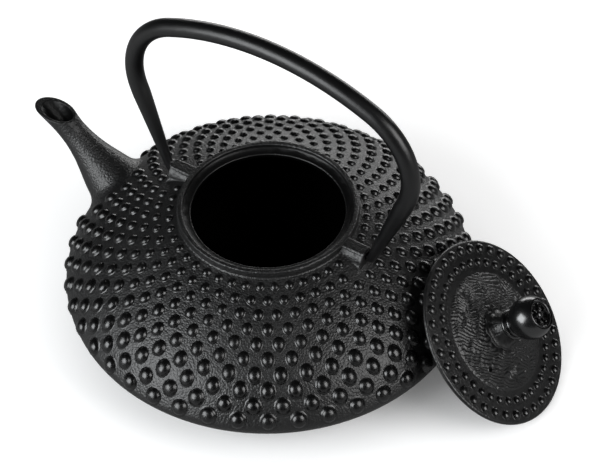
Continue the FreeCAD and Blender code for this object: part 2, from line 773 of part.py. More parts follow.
def lid_place():
    """Place of everything on the lid: leaning on the shoulder with its edge on the table."""
    side = math.radians(value("sizes.lid_side"))
    reach = value("layout.lid_reach")
    base = FreeCAD.Vector(reach * math.cos(side), reach * math.sin(side), value("layout.lid_z"))
    facing = FreeCAD.Rotation(ALONG_Z, value("sizes.lid_lean_side"))
    lean = FreeCAD.Rotation(ALONG_Y, value("sizes.lid_lean"))
    turn = FreeCAD.Rotation(ALONG_Z, value("sizes.lid_turn"))
    return FreeCAD.Placement(base, facing.multiply(lean).multiply(turn))


def hexagon(across, along, radius):
    """Corners of a hexagon in a sketch."""
    return [
        (f"{across} + {radius} * cos({60 * corner})", f"{along} + {radius} * sin({60 * corner})")
        for corner in range(6)
    ]


def add_lid_nails(body, name, ring, turn):
    """One ring of nails on the lid's flat band."""
    sketch = new_sketch(body, f"{name}_foot", "XY_Plane", {"z": "sizes.lid_plate"}, turn=(ALONG_Z, turn))
    draw_outline(sketch, hexagon(ring, "0", "sizes.lid_nail_radius"))
    nail = extrude(body, name, sketch, "sizes.lid_nail_radius * sizes.nail_steepness")
    nail.setExpression("TaperAngle", "-sizes.nail_taper * 1 deg")
    doc.recompute()
    turn_about_z(body, f"{name}_ring", [nail], "sizes.lid_nails_in_ring")


def draw_lid_section(body):
    """Half section of the lid: domed middle, flat nail band, round edge and flange."""
    edge_start = "layout.lid_radius - layout.edge_round"
    corners = [
        ("0", "layout.land_under"),
        ("sizes.lid_land_radius", "layout.land_under"),
        ("layout.flange_bore", "0"),
        ("layout.flange_bore", "-sizes.flange_depth"),
        ("layout.flange_radius", "-sizes.flange_depth"),
        ("layout.flange_radius", "0"),
        (edge_start, "0"),
        ("layout.lid_radius", "layout.edge_round"),
        (edge_start, "sizes.lid_plate"),
        ("layout.lid_middle_radius", "sizes.lid_plate"),
        ("layout.lid_middle_radius - sizes.lid_step", "layout.middle_top"),
        ("sizes.lid_land_radius", "sizes.lid_crown"),
        ("0", "sizes.lid_crown"),
    ]
    bends = {6: "layout.edge_round", 7: "layout.edge_round", 10: "sizes.lid_dome_bend"}
    return draw_outline(new_sketch(body, "lid_section"), corners, bends)


def drill_down(body, name, top, depth, holes):
    """Round holes down from a height, each a radius with the place of its middle."""
    sketch = new_sketch(body, f"{name}_circles", "XY_Plane", shift={"z": top})
    for radius, across, along in holes:
        draw_circle(sketch, radius, across, along)
    return extrude(body, name, sketch, depth, kind="Pocket")


def build_lid():
    """The lid's casting: spun disc with its flange, then nails, vent and stud hole."""
    body = new_body("lid", lid_place())
    spin(body, "disc", draw_lid_section(body))
    half_pitch = "180 / sizes.lid_nails_in_ring"
    add_lid_nails(body, "outer_nail", "layout.lid_outer_ring", "0")
    add_lid_nails(body, "inner_nail", "layout.lid_inner_ring", half_pitch)
    vent_across = "sizes.vent_reach * cos(sizes.vent_angle)"
    vent_along = "sizes.vent_reach * sin(sizes.vent_angle)"
    holes = [
        ("sizes.vent_radius", vent_across, vent_along),
        ("layout.stud_hole_radius", "0", "0"),
    ]
    drill_down(body, "vent_and_stud_hole", "sizes.lid_crown", "sizes.lid_crown", holes)
    return body


def build_knob_seat():
    """The scalloped plate that the knob stands on: a low mound with a ring of petals."""
    body = new_body("knob_seat", lid_place())
    plate_top = "sizes.lid_crown + sizes.seat_plate"
    corners = [
        ("0", "sizes.lid_crown"),
        ("sizes.seat_radius", "sizes.lid_crown"),
        ("sizes.seat_radius", plate_top),
        ("sizes.knob_foot_radius", "layout.seat_top"),
        ("0", "layout.seat_top"),
    ]
    spin(body, "mound", draw_outline(new_sketch(body, "mound_section"), corners))
    circle = new_sketch(body, "petal_circle", "XY_Plane", shift={"z": "sizes.lid_crown"})
    draw_circle(circle, "sizes.petal_radius", across="sizes.seat_radius")
    petal = extrude(body, "petal", circle, "sizes.seat_plate")
    turn_about_z(body, "petals", [petal], "sizes.seat_petals")
    holes = [("layout.stud_hole_radius", "0", "0")]
    drill_down(body, "stud_hole", "layout.seat_top", "sizes.seat_rise", holes)
    return body


def build_knob():
    """The knob: a bulb on a waisted neck with a flower cut in its crown."""
    body = new_body("lid_knob", lid_place())
    foot_edge = "sizes.knob_foot_radius - layout.foot_round"
    foot_top = "layout.seat_top + sizes.knob_foot_height"
    corners = [
        ("0", "layout.seat_top"),
        (foot_edge, "layout.seat_top"),
        ("sizes.knob_foot_radius", "layout.seat_top + layout.foot_round"),
        (foot_edge, foot_top),
        ("sizes.knob_neck_radius + layout.foot_round / 2", foot_top),
        ("sizes.knob_neck_radius", "layout.ball_low"),
        ("sizes.knob_crown_radius", "layout.knob_top"),
        ("0", "layout.knob_top"),
    ]
    bends = {
        1: "layout.foot_round",
        2: "layout.foot_round",
        4: "-sizes.knob_neck_bend",
        5: "sizes.knob_radius",
    }
    spin(body, "bulb", draw_outline(new_sketch(body, "knob_section"), corners, bends))
    petal = drill_down(
        body,
        "flower_petal",
        "layout.knob_top",
        "sizes.rosette_depth",
        [("sizes.rosette_petal_radius", "sizes.rosette_ring", "0")],
    )
    turn_about_z(body, "flower", [petal], "sizes.rosette_petals")
    button = new_sketch(body, "flower_button_circle", "XY_Plane", shift={"z": "layout.knob_top"})
    draw_circle(button, "sizes.rosette_button")
    extrude(body, "flower_button", button, "sizes.rosette_depth / 2")
    socket = new_sketch(body, "stud_socket_circle", "XY_Plane", shift={"z": "layout.seat_top"})
    draw_circle(socket, "layout.stud_hole_radius")
    depth = "sizes.stud_grip + sizes.stud_play"
    extrude(body, "stud_socket", socket, depth, kind="Pocket", reverse=True)
    return body


def build_stud():
    """The stud: a shank up through lid and seat into the knob, with its head under the washer."""
    body = new_body("knob_stud", lid_place())
    slope = "sizes.stud_head_height / 2"
    corners = [
        ("0", "layout.stud_low"),
        (f"sizes.stud_head_radius - {slope}", "layout.stud_low"),
        ("sizes.stud_head_radius", f"layout.stud_low + {slope}"),
        ("sizes.stud_head_radius", "layout.washer_low"),
        ("sizes.stud_radius", "layout.washer_low"),
        ("sizes.stud_radius", "layout.stud_top"),
        ("0", "layout.stud_top"),
    ]
    spin(body, "shank_and_head", draw_outline(new_sketch(body, "stud_section"), corners))
    return body


def build_washer():
    """The washer between the stud's head and the underside of the lid."""
    body = new_body("stud_washer", lid_place())
    sketch = new_sketch(body, "washer_circles", "XY_Plane", shift={"z": "layout.washer_low"})
    draw_circle(sketch, "sizes.washer_radius")
    draw_circle(sketch, "layout.stud_hole_radius")
    extrude(body, "ring", sketch, "sizes.washer_thickness")
    return body


def check_document():
    """Stop if any object failed to build."""
    for item in doc.Objects:
        if "Invalid" in item.State or "Error" in item.State:
            raise RuntimeError(f"{item.Name}: {item.State}")


def export(pieces):
    """Write each piece to its own file, named after its label."""
    os.makedirs("parts", exist_ok=True)
    for piece in pieces:
        shape = piece.Shape
        if shape.isNull() or not shape.isValid():
            raise RuntimeError(f"{piece.Label}: bad shape")
        shape.exportStep(f"parts/{piece.Label}.step")
        print(f"{piece.Label}: {len(shape.Solids)} solids, {shape.Volume:.0f} mm3")


fill_sheet(sizes, SIZES)
fill_sheet(layout, LAYOUT, prefix="=")
pot, lug_shapes, spout_shape = build_pot()
pieces = [
    pot,
    build_hobnails(pot.Shape, lug_shapes, spout_shape),
    build_bail(),
    build_lid(),
    build_knob_seat(),
    build_knob(),
    build_stud(),
    build_washer(),
]
doc.recompute()
check_document()
export(pieces)
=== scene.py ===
"""Looks of a hobnail cast-iron teapot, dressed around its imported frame.

Metres, +Z up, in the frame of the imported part: the pot's axis is Z, the spout points to -X, and
the lid is off the pot and leans on the shoulder at +X.
"""

import logging
import math
from dataclasses import dataclass, field
from enum import Enum
from typing import Callable, Iterable, Sequence

import bmesh
import bpy
from mathutils import Matrix, Vector, noise

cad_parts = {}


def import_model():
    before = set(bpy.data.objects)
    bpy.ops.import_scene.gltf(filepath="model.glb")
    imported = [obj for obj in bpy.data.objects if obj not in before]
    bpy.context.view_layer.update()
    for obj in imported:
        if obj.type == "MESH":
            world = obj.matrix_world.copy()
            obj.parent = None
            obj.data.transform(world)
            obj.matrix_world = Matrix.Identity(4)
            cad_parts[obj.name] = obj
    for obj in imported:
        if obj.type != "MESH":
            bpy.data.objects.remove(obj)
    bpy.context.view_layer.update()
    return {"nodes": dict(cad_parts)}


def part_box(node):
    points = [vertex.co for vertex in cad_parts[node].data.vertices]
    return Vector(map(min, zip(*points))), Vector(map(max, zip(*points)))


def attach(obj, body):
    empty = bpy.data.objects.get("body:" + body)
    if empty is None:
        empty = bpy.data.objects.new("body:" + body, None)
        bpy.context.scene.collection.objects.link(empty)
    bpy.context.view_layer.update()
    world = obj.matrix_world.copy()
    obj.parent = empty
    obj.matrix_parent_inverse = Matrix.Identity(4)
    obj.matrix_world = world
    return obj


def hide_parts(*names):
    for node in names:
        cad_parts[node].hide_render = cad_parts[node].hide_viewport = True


MM = 0.001
JOIN_GAP = 0.002 * MM
POLE_GAP = 0.001 * MM
STUD_SIDES = 6
SEAT_TOP = 12.3 * MM
log = logging.getLogger("teapot")

Triple = tuple[float, float, float]
Profile = list[tuple[float, float]]
Shaper = Callable[[float, float, float], tuple[float, float]]


class Body(Enum):
    """Moving bodies of the frame."""

    POT = "pot"
    BAIL = "bail"
    LID = "lid"


class Slot(Enum):
    """Names of material slots, handed to the lid's pieces but not used."""

    BODY_IRON = "body_iron"
    LID_IRON = "lid_iron"
    BAIL_IRON = "bail_iron"
    KNOB_BLACK = "knob_black"


class Coat(Enum):
    """Order of the finishes on the casting."""

    CAST = 0
    INSIDE = 1
    # Painted shade: a darker, less glossy finish for the lid's recess and the spout's bore.
    RECESS = 2


# Node trees

class Wiring:
    """Small helper that adds and links nodes in one tree."""

    PEBBLE_SMOOTHNESS = 0.6
    MIX_FACTOR, MIX_FIRST, MIX_SECOND, MIX_RESULT = 0, 6, 7, 2

    def __init__(self, tree: bpy.types.NodeTree) -> None:
        """Keep the tree that nodes go into.

        Args:
            tree: node tree to fill.
        """
        self.tree = tree

    def feed(self, socket: bpy.types.NodeSocket, source: object) -> None:
        """Link a socket to another, or set its plain value.

        Args:
            socket: input socket.
            source: an output socket, or a value.
        """
        if isinstance(source, bpy.types.NodeSocket):
            self.tree.links.new(source, socket)
        else:
            socket.default_value = source

    def add(self, kind: str, feeds: dict | None = None, **settings: object) -> bpy.types.Node:
        """Add a node and feed its inputs.

        Args:
            kind: node type, such as ShaderNodeMath.
            feeds: sockets or plain values, by the name or number of the input.
            settings: properties of the node, set as they are given.

        Returns:
            The new node.
        """
        node = self.tree.nodes.new(kind)
        for name, value in settings.items():
            setattr(node, name, value)
        for key, source in (feeds or {}).items():
            self.feed(node.inputs[key], source)
        return node

    def math(self, operation: str, *sources: object) -> bpy.types.NodeSocket:
        """Add a Math node.

        Args:
            operation: name of the operation, such as MULTIPLY.
            sources: its inputs in order, sockets or numbers.

        Returns:
            The result's socket.
        """
        return self.add("ShaderNodeMath", dict(enumerate(sources)), operation=operation).outputs[0]

    def centred(self, source: object, width: float) -> bpy.types.NodeSocket:
        """Scale a value that runs from 0 to 1 so that it swings evenly about 0.

        Args:
            source: value from 0 to 1.
            width: whole swing.

        Returns:
            The result's socket.
        """
        return self.math("MULTIPLY_ADD", source, width, -width / 2.0)

    def noise(self, vector: object, scale: object, detail: float, roughness: float,
              distortion: float = 0.0) -> bpy.types.NodeSocket:
        """Add a Noise texture.

        Args:
            vector: coordinates.
            scale: cells per metre.
            detail: octaves.
            roughness: share that each finer octave keeps.
            distortion: how far the pattern is pulled about.

        Returns:
            The noise's value socket.
        """
        feeds = {"Vector": vector, "Scale": scale, "Detail": detail, "Roughness": roughness,
                 "Distortion": distortion}
        return self.add("ShaderNodeTexNoise", feeds).outputs["Fac"]

    def pebbles(self, vector: object, scale: object) -> bpy.types.NodeSocket:
        """Add a smooth Voronoi texture, a field of small round pits.

        Args:
            vector: coordinates.
            scale: pits per metre.

        Returns:
            The distance from each pit's middle.
        """
        feeds = {"Vector": vector, "Scale": scale, "Smoothness": self.PEBBLE_SMOOTHNESS}
        return self.add("ShaderNodeTexVoronoi", feeds, feature="SMOOTH_F1").outputs["Distance"]

    def tint(self, factor: object, first: object, second: object,
             blend: str = "MIX") -> bpy.types.NodeSocket:
        """Add a colour Mix node.

        Args:
            factor: share of the second colour.
            first: colour or socket.
            second: colour or socket.
            blend: blend mode.

        Returns:
            The mixed colour's socket.
        """
        feeds = {self.MIX_FACTOR: factor, self.MIX_FIRST: first, self.MIX_SECOND: second}
        node = self.add("ShaderNodeMix", feeds, data_type="RGBA", blend_type=blend)
        return node.outputs[self.MIX_RESULT]

    def mottle(self, tone: object, factor: object, dark: Triple, light: Triple) -> bpy.types.NodeSocket:
        """Vary a tone between a darker and a lighter one.

        Args:
            tone: colour or socket.
            factor: share of the lighter tone.
            dark: what the darker tone is multiplied by.
            light: what the lighter tone is multiplied by.

        Returns:
            The colour's socket.
        """
        low, high = (self.tint(1.0, tone, (*share, 1.0), "MULTIPLY") for share in (dark, light))
        return self.tint(factor, low, high)

    def attribute(self, name: str, kind: str) -> bpy.types.NodeSocket:
        """Read a named attribute of the points.

        Args:
            name: attribute name.
            kind: its data type.

        Returns:
            The attribute's socket.
        """
        node = self.add("GeometryNodeInputNamedAttribute", {"Name": name}, data_type=kind)
        return node.outputs["Attribute"]


def new_group(name: str, kind: str, inputs: dict[str, str], outputs: dict[str, str],
              ) -> tuple[Wiring, bpy.types.NodeOutputs, bpy.types.NodeInputs]:
    """Start a node group.

    Args:
        name: group name.
        kind: type of its tree.
        inputs: socket types by input name.
        outputs: socket types by output name.

    Returns:
        The group's wiring, its input sockets and its output sockets.
    """
    tree = bpy.data.node_groups.new(name, kind)
    for side, sockets in (("INPUT", inputs), ("OUTPUT", outputs)):
        for label, socket_type in sockets.items():
            tree.interface.new_socket(label, in_out=side, socket_type=socket_type)
    wiring = Wiring(tree)
    return wiring, wiring.add("NodeGroupInput").outputs, wiring.add("NodeGroupOutput").inputs


def cleared(owner: bpy.types.Material | bpy.types.World) -> Wiring:
    """Empty the node tree of a material or world.

    Args:
        owner: material or world.

    Returns:
        Wiring of its tree.
    """
    owner.use_nodes = True
    owner.node_tree.nodes.clear()
    return Wiring(owner.node_tree)


def grey(level: float) -> tuple[float, float, float, float]:
    """A neutral colour.

    Args:
        level: its brightness.

    Returns:
        Red, green, blue and alpha.
    """
    return (level, level, level, 1.0)


# Finishes

SKIN_INPUTS = {
    "Vector": "NodeSocketVector",
    "Scale": "NodeSocketFloat",
    "Tone": "NodeSocketColor",
    "Roughness": "NodeSocketFloat",
}
SKIN_OUTPUTS = {"Color": "NodeSocketColor", "Roughness": "NodeSocketFloat", "Height": "NodeSocketFloat"}


@dataclass(frozen=True)
class SandGrain:
    """Skin of a sand casting under black enamel: fine grain, soft mottling and uneven gloss."""

    coarse_share: float = 0.22
    coarse_octaves: float = 2.0
    patch_share: float = 0.035
    patch_octaves: float = 3.0
    fading: float = 0.5
    dark: Triple = (0.72, 0.72, 0.73)
    light: Triple = (1.35, 1.33, 1.30)
    gloss_drift: float = 0.22
    gloss_speckle: float = 0.16
    fine_height: float = 0.8
    coarse_height: float = 0.4

    def group(self) -> bpy.types.NodeTree:
        """Build the shader group.

        Returns:
            The node group.
        """
        wiring, ins, outs = new_group("sand_grain", "ShaderNodeTree", SKIN_INPUTS, SKIN_OUTPUTS)
        vector, scale = ins["Vector"], ins["Scale"]
        fine = wiring.pebbles(vector, scale)
        coarse_scale = wiring.math("MULTIPLY", scale, self.coarse_share)
        coarse = wiring.noise(vector, coarse_scale, self.coarse_octaves, self.fading)
        patch_scale = wiring.math("MULTIPLY", scale, self.patch_share)
        patch = wiring.noise(vector, patch_scale, self.patch_octaves, self.fading)
        wiring.feed(outs["Color"], wiring.mottle(ins["Tone"], patch, self.dark, self.light))
        drift = wiring.centred(patch, self.gloss_drift)
        uneven = wiring.math("ADD", drift, wiring.centred(fine, self.gloss_speckle))
        wiring.feed(outs["Roughness"], wiring.math("ADD", ins["Roughness"], uneven))
        body = wiring.math("MULTIPLY", coarse, self.coarse_height)
        wiring.feed(outs["Height"], wiring.math("MULTIPLY_ADD", fine, self.fine_height, body))
        return wiring.tree


@dataclass(frozen=True)
class Lacquer:
    """Skin of brushed or dipped lacquer: faint orange peel, finger marks in the gloss."""

    peel_octaves: float = 1.0
    peel_fading: float = 0.4
    smear_share: float = 0.12
    smear_octaves: float = 4.0
    smear_fading: float = 0.6
    smear_pull: float = 0.6
    dark: Triple = (0.8, 0.8, 0.8)
    light: Triple = (1.25, 1.25, 1.25)
    gloss_drift: float = 0.14

    def group(self) -> bpy.types.NodeTree:
        """Build the shader group.

        Returns:
            The node group.
        """
        wiring, ins, outs = new_group("lacquer_skin", "ShaderNodeTree", SKIN_INPUTS, SKIN_OUTPUTS)
        vector, scale = ins["Vector"], ins["Scale"]
        peel = wiring.noise(vector, scale, self.peel_octaves, self.peel_fading)
        smear_scale = wiring.math("MULTIPLY", scale, self.smear_share)
        smear = wiring.noise(vector, smear_scale, self.smear_octaves, self.smear_fading, self.smear_pull)
        wiring.feed(outs["Color"], wiring.mottle(ins["Tone"], smear, self.dark, self.light))
        drift = wiring.centred(smear, self.gloss_drift)
        wiring.feed(outs["Roughness"], wiring.math("ADD", ins["Roughness"], drift))
        wiring.feed(outs["Height"], peel)
        return wiring.tree


@dataclass(frozen=True)
class Finish:
    """A painted surface: one skin group, its colour and gloss, and the depth of its relief."""

    name: str
    tone: Triple
    roughness: float
    scale: float
    depth: float
    specular: float = 0.5
    metallic: float = 0.0

    def make(self, skin: bpy.types.NodeTree) -> bpy.types.Material:
        """Build the material.

        Args:
            skin: shader group that gives colour, roughness and height.

        Returns:
            The material.
        """
        material = bpy.data.materials.new(self.name)
        wiring = cleared(material)
        place = wiring.add("ShaderNodeTexCoord").outputs["Object"]
        feeds = {"Vector": place, "Scale": self.scale, "Tone": (*self.tone, 1.0), "Roughness": self.roughness}
        group = wiring.add("ShaderNodeGroup", feeds, node_tree=skin).outputs
        feeds = {"Strength": 1.0, "Distance": self.depth, "Height": group["Height"]}
        relief = wiring.add("ShaderNodeBump", feeds).outputs["Normal"]
        feeds = {
            "Base Color": group["Color"],
            "Roughness": group["Roughness"],
            "Normal": relief,
            "Metallic": self.metallic,
            "Specular IOR Level": self.specular,
        }
        shader = wiring.add("ShaderNodeBsdfPrincipled", feeds).outputs["BSDF"]
        wiring.add("ShaderNodeOutputMaterial", {"Surface": shader})
        return material


@dataclass
class Palette:
    """Every finish on the teapot."""

    cast: bpy.types.Material
    nails: bpy.types.Material
    inside: bpy.types.Material
    recess: bpy.types.Material
    bail: bpy.types.Material
    lid: bpy.types.Material
    knob: bpy.types.Material
    steel: bpy.types.Material

    @classmethod
    def make(cls) -> "Palette":
        """Build the shared groups and the materials.

        Returns:
            The palette.
        """
        sand = SandGrain().group()
        lacquer = Lacquer().group()
        cast = Finish("cast_iron_black", (0.0025, 0.0025, 0.0026), 0.46, 1000.0, 0.00027, specular=0.68)
        nails = Finish("hobnail_iron_black", (0.0020, 0.0020, 0.0021), 0.30, 1000.0, 0.00006, specular=0.6)
        # The inside's near-black tone with almost no reflection is partly its real black enamel and partly
        # painted shade, so that the bowl renders as dark as shade.
        inside = Finish("inside_enamel", (0.001, 0.001, 0.001), 0.75, 900.0, 0.00003, specular=0.02)
        # Painted shade: the recess finish reflects less than the cast iron, to darken the lid's recess and
        # the spout's bore where shade falls.
        recess = Finish("recess_iron_black", (0.0025, 0.0025, 0.0026), 0.42, 700.0, 0.0001, specular=0.3)
        bail = Finish("bail_lacquer", (0.0025, 0.0025, 0.0027), 0.36, 900.0, 0.00003, specular=0.5)
        lid = Finish("lid_iron_black", (0.0025, 0.0025, 0.0027), 0.40, 1000.0, 0.00018, specular=0.6)
        knob = Finish("knob_gloss_black", (0.003, 0.003, 0.0032), 0.24, 500.0, 0.000008, specular=1.0)
        steel = Finish("stud_steel", (0.42, 0.42, 0.43), 0.34, 2200.0, 0.00002, metallic=1.0)
        return cls(
            cast=cast.make(sand),
            nails=nails.make(sand),
            inside=inside.make(sand),
            recess=recess.make(sand),
            bail=bail.make(lacquer),
            lid=lid.make(sand),
            knob=knob.make(lacquer),
            steel=steel.make(lacquer),
        )


# Mesh helpers

def new_object(name: str, data: bpy.types.ID) -> bpy.types.Object:
    """Put a mesh, light or camera into the scene.

    Args:
        name: object name.
        data: what it shows, a mesh being in the part's frame.

    Returns:
        The object, at the origin.
    """
    thing = bpy.data.objects.new(name, data)
    bpy.context.scene.collection.objects.link(thing)
    return thing


def smooth(mesh: bpy.types.Mesh, degrees: float) -> None:
    """Shade a mesh smooth, with edges sharper than an angle left crisp.

    Args:
        mesh: mesh to shade.
        degrees: angle between faces.
    """
    mesh.polygons.foreach_set("use_smooth", [True] * len(mesh.polygons))
    mesh.set_sharp_from_angle(angle=math.radians(degrees))


def merged_copy(node: bpy.types.Object) -> bmesh.types.BMesh:
    """Copy of a CAD node's mesh with its loose triangles joined.

    Args:
        node: CAD node's object.

    Returns:
        The joined mesh.
    """
    shape = bmesh.new()
    shape.from_mesh(node.data)
    bmesh.ops.remove_doubles(shape, verts=shape.verts, dist=JOIN_GAP)
    bmesh.ops.dissolve_degenerate(shape, dist=JOIN_GAP, edges=shape.edges)
    return shape


def new_piece(name: str, shape: bmesh.types.BMesh, crease: float,
              *materials: bpy.types.Material) -> bpy.types.Object:
    """Turn a working mesh into a shaded piece.

    Args:
        name: name of the piece.
        shape: working mesh, freed here.
        crease: angle in degrees above which edges stay crisp.
        materials: finishes, in the order of the faces' numbers.

    Returns:
        The piece, at the origin.
    """
    mesh = bpy.data.meshes.new(name)
    shape.to_mesh(mesh)
    shape.free()
    smooth(mesh, crease)
    for material in materials:
        mesh.materials.append(material)
    return new_object(name, mesh)


def baked(thing: bpy.types.Object) -> bpy.types.Object:
    """Apply an object's modifiers to its mesh.

    Args:
        thing: object with modifiers.

    Returns:
        The same object with a plain mesh and no modifiers.
    """
    bpy.context.view_layer.update()
    graph = bpy.context.evaluated_depsgraph_get()
    mesh = bpy.data.meshes.new_from_object(thing.evaluated_get(graph))
    thing.modifiers.clear()
    thing.data = mesh
    return thing


def evened(thing: bpy.types.Object) -> bpy.types.Object:
    """Weigh a piece's shading by the size of its faces.

    Args:
        thing: piece to shade.

    Returns:
        The same piece.
    """
    even = thing.modifiers.new("even_shading", "WEIGHTED_NORMAL")
    even.keep_sharp = True
    return baked(thing)


def reach_of(spot: Vector) -> float:
    """Distance of a point from the Z axis.

    Args:
        spot: the point.

    Returns:
        Its distance.
    """
    return math.hypot(spot.x, spot.y)


def arc(centre: tuple[float, float], radius: float, first: float, last: float, steps: int) -> Profile:
    """Points along an arc of a half section.

    Args:
        centre: middle of the arc, as distance from the axis and height.
        radius: radius of the arc.
        first: first angle in degrees, 0 pointing away from the axis.
        last: last angle in degrees.
        steps: number of chords.

    Returns:
        The points, both ends included.
    """
    angles = [math.radians(first + (last - first) * step / steps) for step in range(steps + 1)]
    return [(centre[0] + radius * math.cos(turn), centre[1] + radius * math.sin(turn)) for turn in angles]


def ramp(low: float, high: float, value: float) -> float:
    """Smooth step from 0 at low to 1 at high.

    Args:
        low: value that gives 0.
        high: value that gives 1.
        value: value to grade.

    Returns:
        The share, from 0 to 1.
    """
    share = min(max((value - low) / (high - low), 0.0), 1.0)
    return share * share * (3.0 - 2.0 * share)


def lathe(profile: Profile, segments: int, shaper: Shaper, closed: bool = False) -> bmesh.types.BMesh:
    """Spin a half section about Z.

    Args:
        profile: points as distance from the axis and height, outside on the left of the travel.
        segments: faces round the axis.
        shaper: moves each point, given its distance, height and turn, to a new distance and height.
        closed: whether the last point joins the first.

    Returns:
        The spun mesh, with its poles closed.
    """
    shape = bmesh.new()
    rows = []
    for reach, height in profile:
        row = []
        for step in range(segments):
            turn = 2.0 * math.pi * step / segments
            far, high = shaper(reach, height, turn)
            row.append(shape.verts.new((far * math.cos(turn), far * math.sin(turn), high)))
        rows.append(row)
    pairs = list(zip(rows, rows[1:]))
    if closed:
        pairs.append((rows[-1], rows[0]))
    for lower, upper in pairs:
        for step in range(segments):
            following = (step + 1) % segments
            shape.faces.new((lower[step], lower[following], upper[following], upper[step]))
    bmesh.ops.remove_doubles(shape, verts=shape.verts, dist=POLE_GAP)
    bmesh.ops.recalc_face_normals(shape, faces=shape.faces)
    return shape


# Hobnails

@dataclass
class StudPlace:
    """Where one stud stands: the middle of its foot, its axis, its longer way and its size."""

    foot: Vector
    axis: Vector
    along: Vector
    radius: float
    oval: float = 1.0


@dataclass
class StudField:
    """Round studs set on places by one node tree, made into one mesh per body.

    Sizes are shares of a stud's radius. Levels are heights on the unit ball that a stud starts as.
    """

    rise: float = 0.56
    core: float = 0.86
    brim: float = 0.06
    skirt: float = 0.015
    flare: float = 0.1
    segments: int = 12
    rings: int = 8
    unevenness: float = 0.03
    seed: int = 7
    cut_level: float = -0.8
    deep_level: float = -0.5
    skirt_level: float = -0.01
    deep_gain: float = 3.0
    least_reach: float = 0.01
    tree: bpy.types.NodeTree | None = field(default=None, init=False)

    def build_tree(self) -> bpy.types.NodeTree:
        """Build the node tree: on every point a dome with a soft brim and a skirt that sinks in.

        Returns:
            The geometry node tree.
        """
        inputs = {"Geometry": "NodeSocketGeometry"}
        inputs |= dict.fromkeys(("Rise", "Core", "Brim", "Skirt", "Flare"), "NodeSocketFloat")
        inputs |= dict.fromkeys(("Segments", "Rings"), "NodeSocketInt")
        inputs |= {"Unevenness": "NodeSocketFloat", "Seed": "NodeSocketInt", "Material": "NodeSocketMaterial"}
        outputs = {"Geometry": "NodeSocketGeometry"}
        wiring, start, finish = new_group("stud_field", "GeometryNodeTree", inputs, outputs)

        feeds = {"Segments": start["Segments"], "Rings": start["Rings"], "Radius": 1.0}
        ball = wiring.add("GeometryNodeMeshUVSphere", feeds).outputs["Mesh"]
        spot = wiring.add("GeometryNodeInputPosition").outputs[0]
        axes = wiring.add("ShaderNodeSeparateXYZ", {0: spot}).outputs
        buried = wiring.math("LESS_THAN", axes["Z"], self.cut_level)
        feeds = {"Geometry": ball, "Selection": buried}
        cut = wiring.add("GeometryNodeDeleteGeometry", feeds, domain="POINT").outputs["Geometry"]

        below = wiring.math("LESS_THAN", axes["Z"], self.skirt_level)
        above = wiring.math("SUBTRACT", 1.0, below)
        deep = wiring.math("LESS_THAN", axes["Z"], self.deep_level)
        flat = wiring.add("ShaderNodeCombineXYZ", {"X": axes["X"], "Y": axes["Y"]}).outputs[0]
        reach = wiring.add("ShaderNodeVectorMath", {0: flat}, operation="LENGTH").outputs["Value"]
        spread = wiring.math("MULTIPLY_ADD", deep, start["Flare"], below)
        edge = wiring.math("DIVIDE", spread, wiring.math("MAXIMUM", reach, self.least_reach))
        widen = wiring.math("MULTIPLY_ADD", above, start["Core"], edge)
        swell = wiring.math("SUBTRACT", start["Rise"], start["Brim"])
        bulge = wiring.math("MULTIPLY_ADD", axes["Z"], swell, start["Brim"])
        depth = wiring.math("MULTIPLY_ADD", deep, self.deep_gain, 1.0)
        sunk = wiring.math("MULTIPLY", wiring.math("MULTIPLY", below, depth), start["Skirt"])
        feeds = {
            "X": wiring.math("MULTIPLY", axes["X"], widen),
            "Y": wiring.math("MULTIPLY", axes["Y"], widen),
            "Z": wiring.math("SUBTRACT", wiring.math("MULTIPLY", above, bulge), sunk),
        }
        form = wiring.add("ShaderNodeCombineXYZ", feeds).outputs[0]
        feeds = {"Geometry": cut, "Position": form}
        dome = wiring.add("GeometryNodeSetPosition", feeds).outputs["Geometry"]

        feeds = {"Vector": wiring.attribute("axis", "FLOAT_VECTOR")}
        stand = wiring.add("FunctionNodeAlignRotationToVector", feeds, axis="Z").outputs["Rotation"]
        feeds = {"Rotation": stand, "Vector": wiring.attribute("along", "FLOAT_VECTOR")}
        face = wiring.add("FunctionNodeAlignRotationToVector", feeds, axis="X", pivot_axis="Z")
        foot = wiring.attribute("foot", "FLOAT")
        oval = wiring.attribute("oval", "FLOAT")
        low = wiring.math("SUBTRACT", 1.0, start["Unevenness"])
        high = wiring.math("ADD", 1.0, start["Unevenness"])
        feeds = {"Seed": start["Seed"], 2: low, 3: high}
        chance = wiring.add("FunctionNodeRandomValue", feeds, data_type="FLOAT").outputs[1]
        size = wiring.math("MULTIPLY", foot, chance)
        feeds = {"X": wiring.math("MULTIPLY", size, oval), "Y": size, "Z": size}
        sizes = wiring.add("ShaderNodeCombineXYZ", feeds).outputs[0]
        feeds = {"Points": start["Geometry"], "Instance": dome, "Rotation": face.outputs["Rotation"],
                 "Scale": sizes}
        copies = wiring.add("GeometryNodeInstanceOnPoints", feeds).outputs["Instances"]

        real = wiring.add("GeometryNodeRealizeInstances", {"Geometry": copies}).outputs["Geometry"]
        shade = wiring.add("GeometryNodeSetShadeSmooth", {"Geometry": real}).outputs["Geometry"]
        paint = wiring.add("GeometryNodeSetMaterial", {"Geometry": shade, "Material": start["Material"]})
        wiring.feed(finish["Geometry"], paint.outputs["Geometry"])
        return wiring.tree

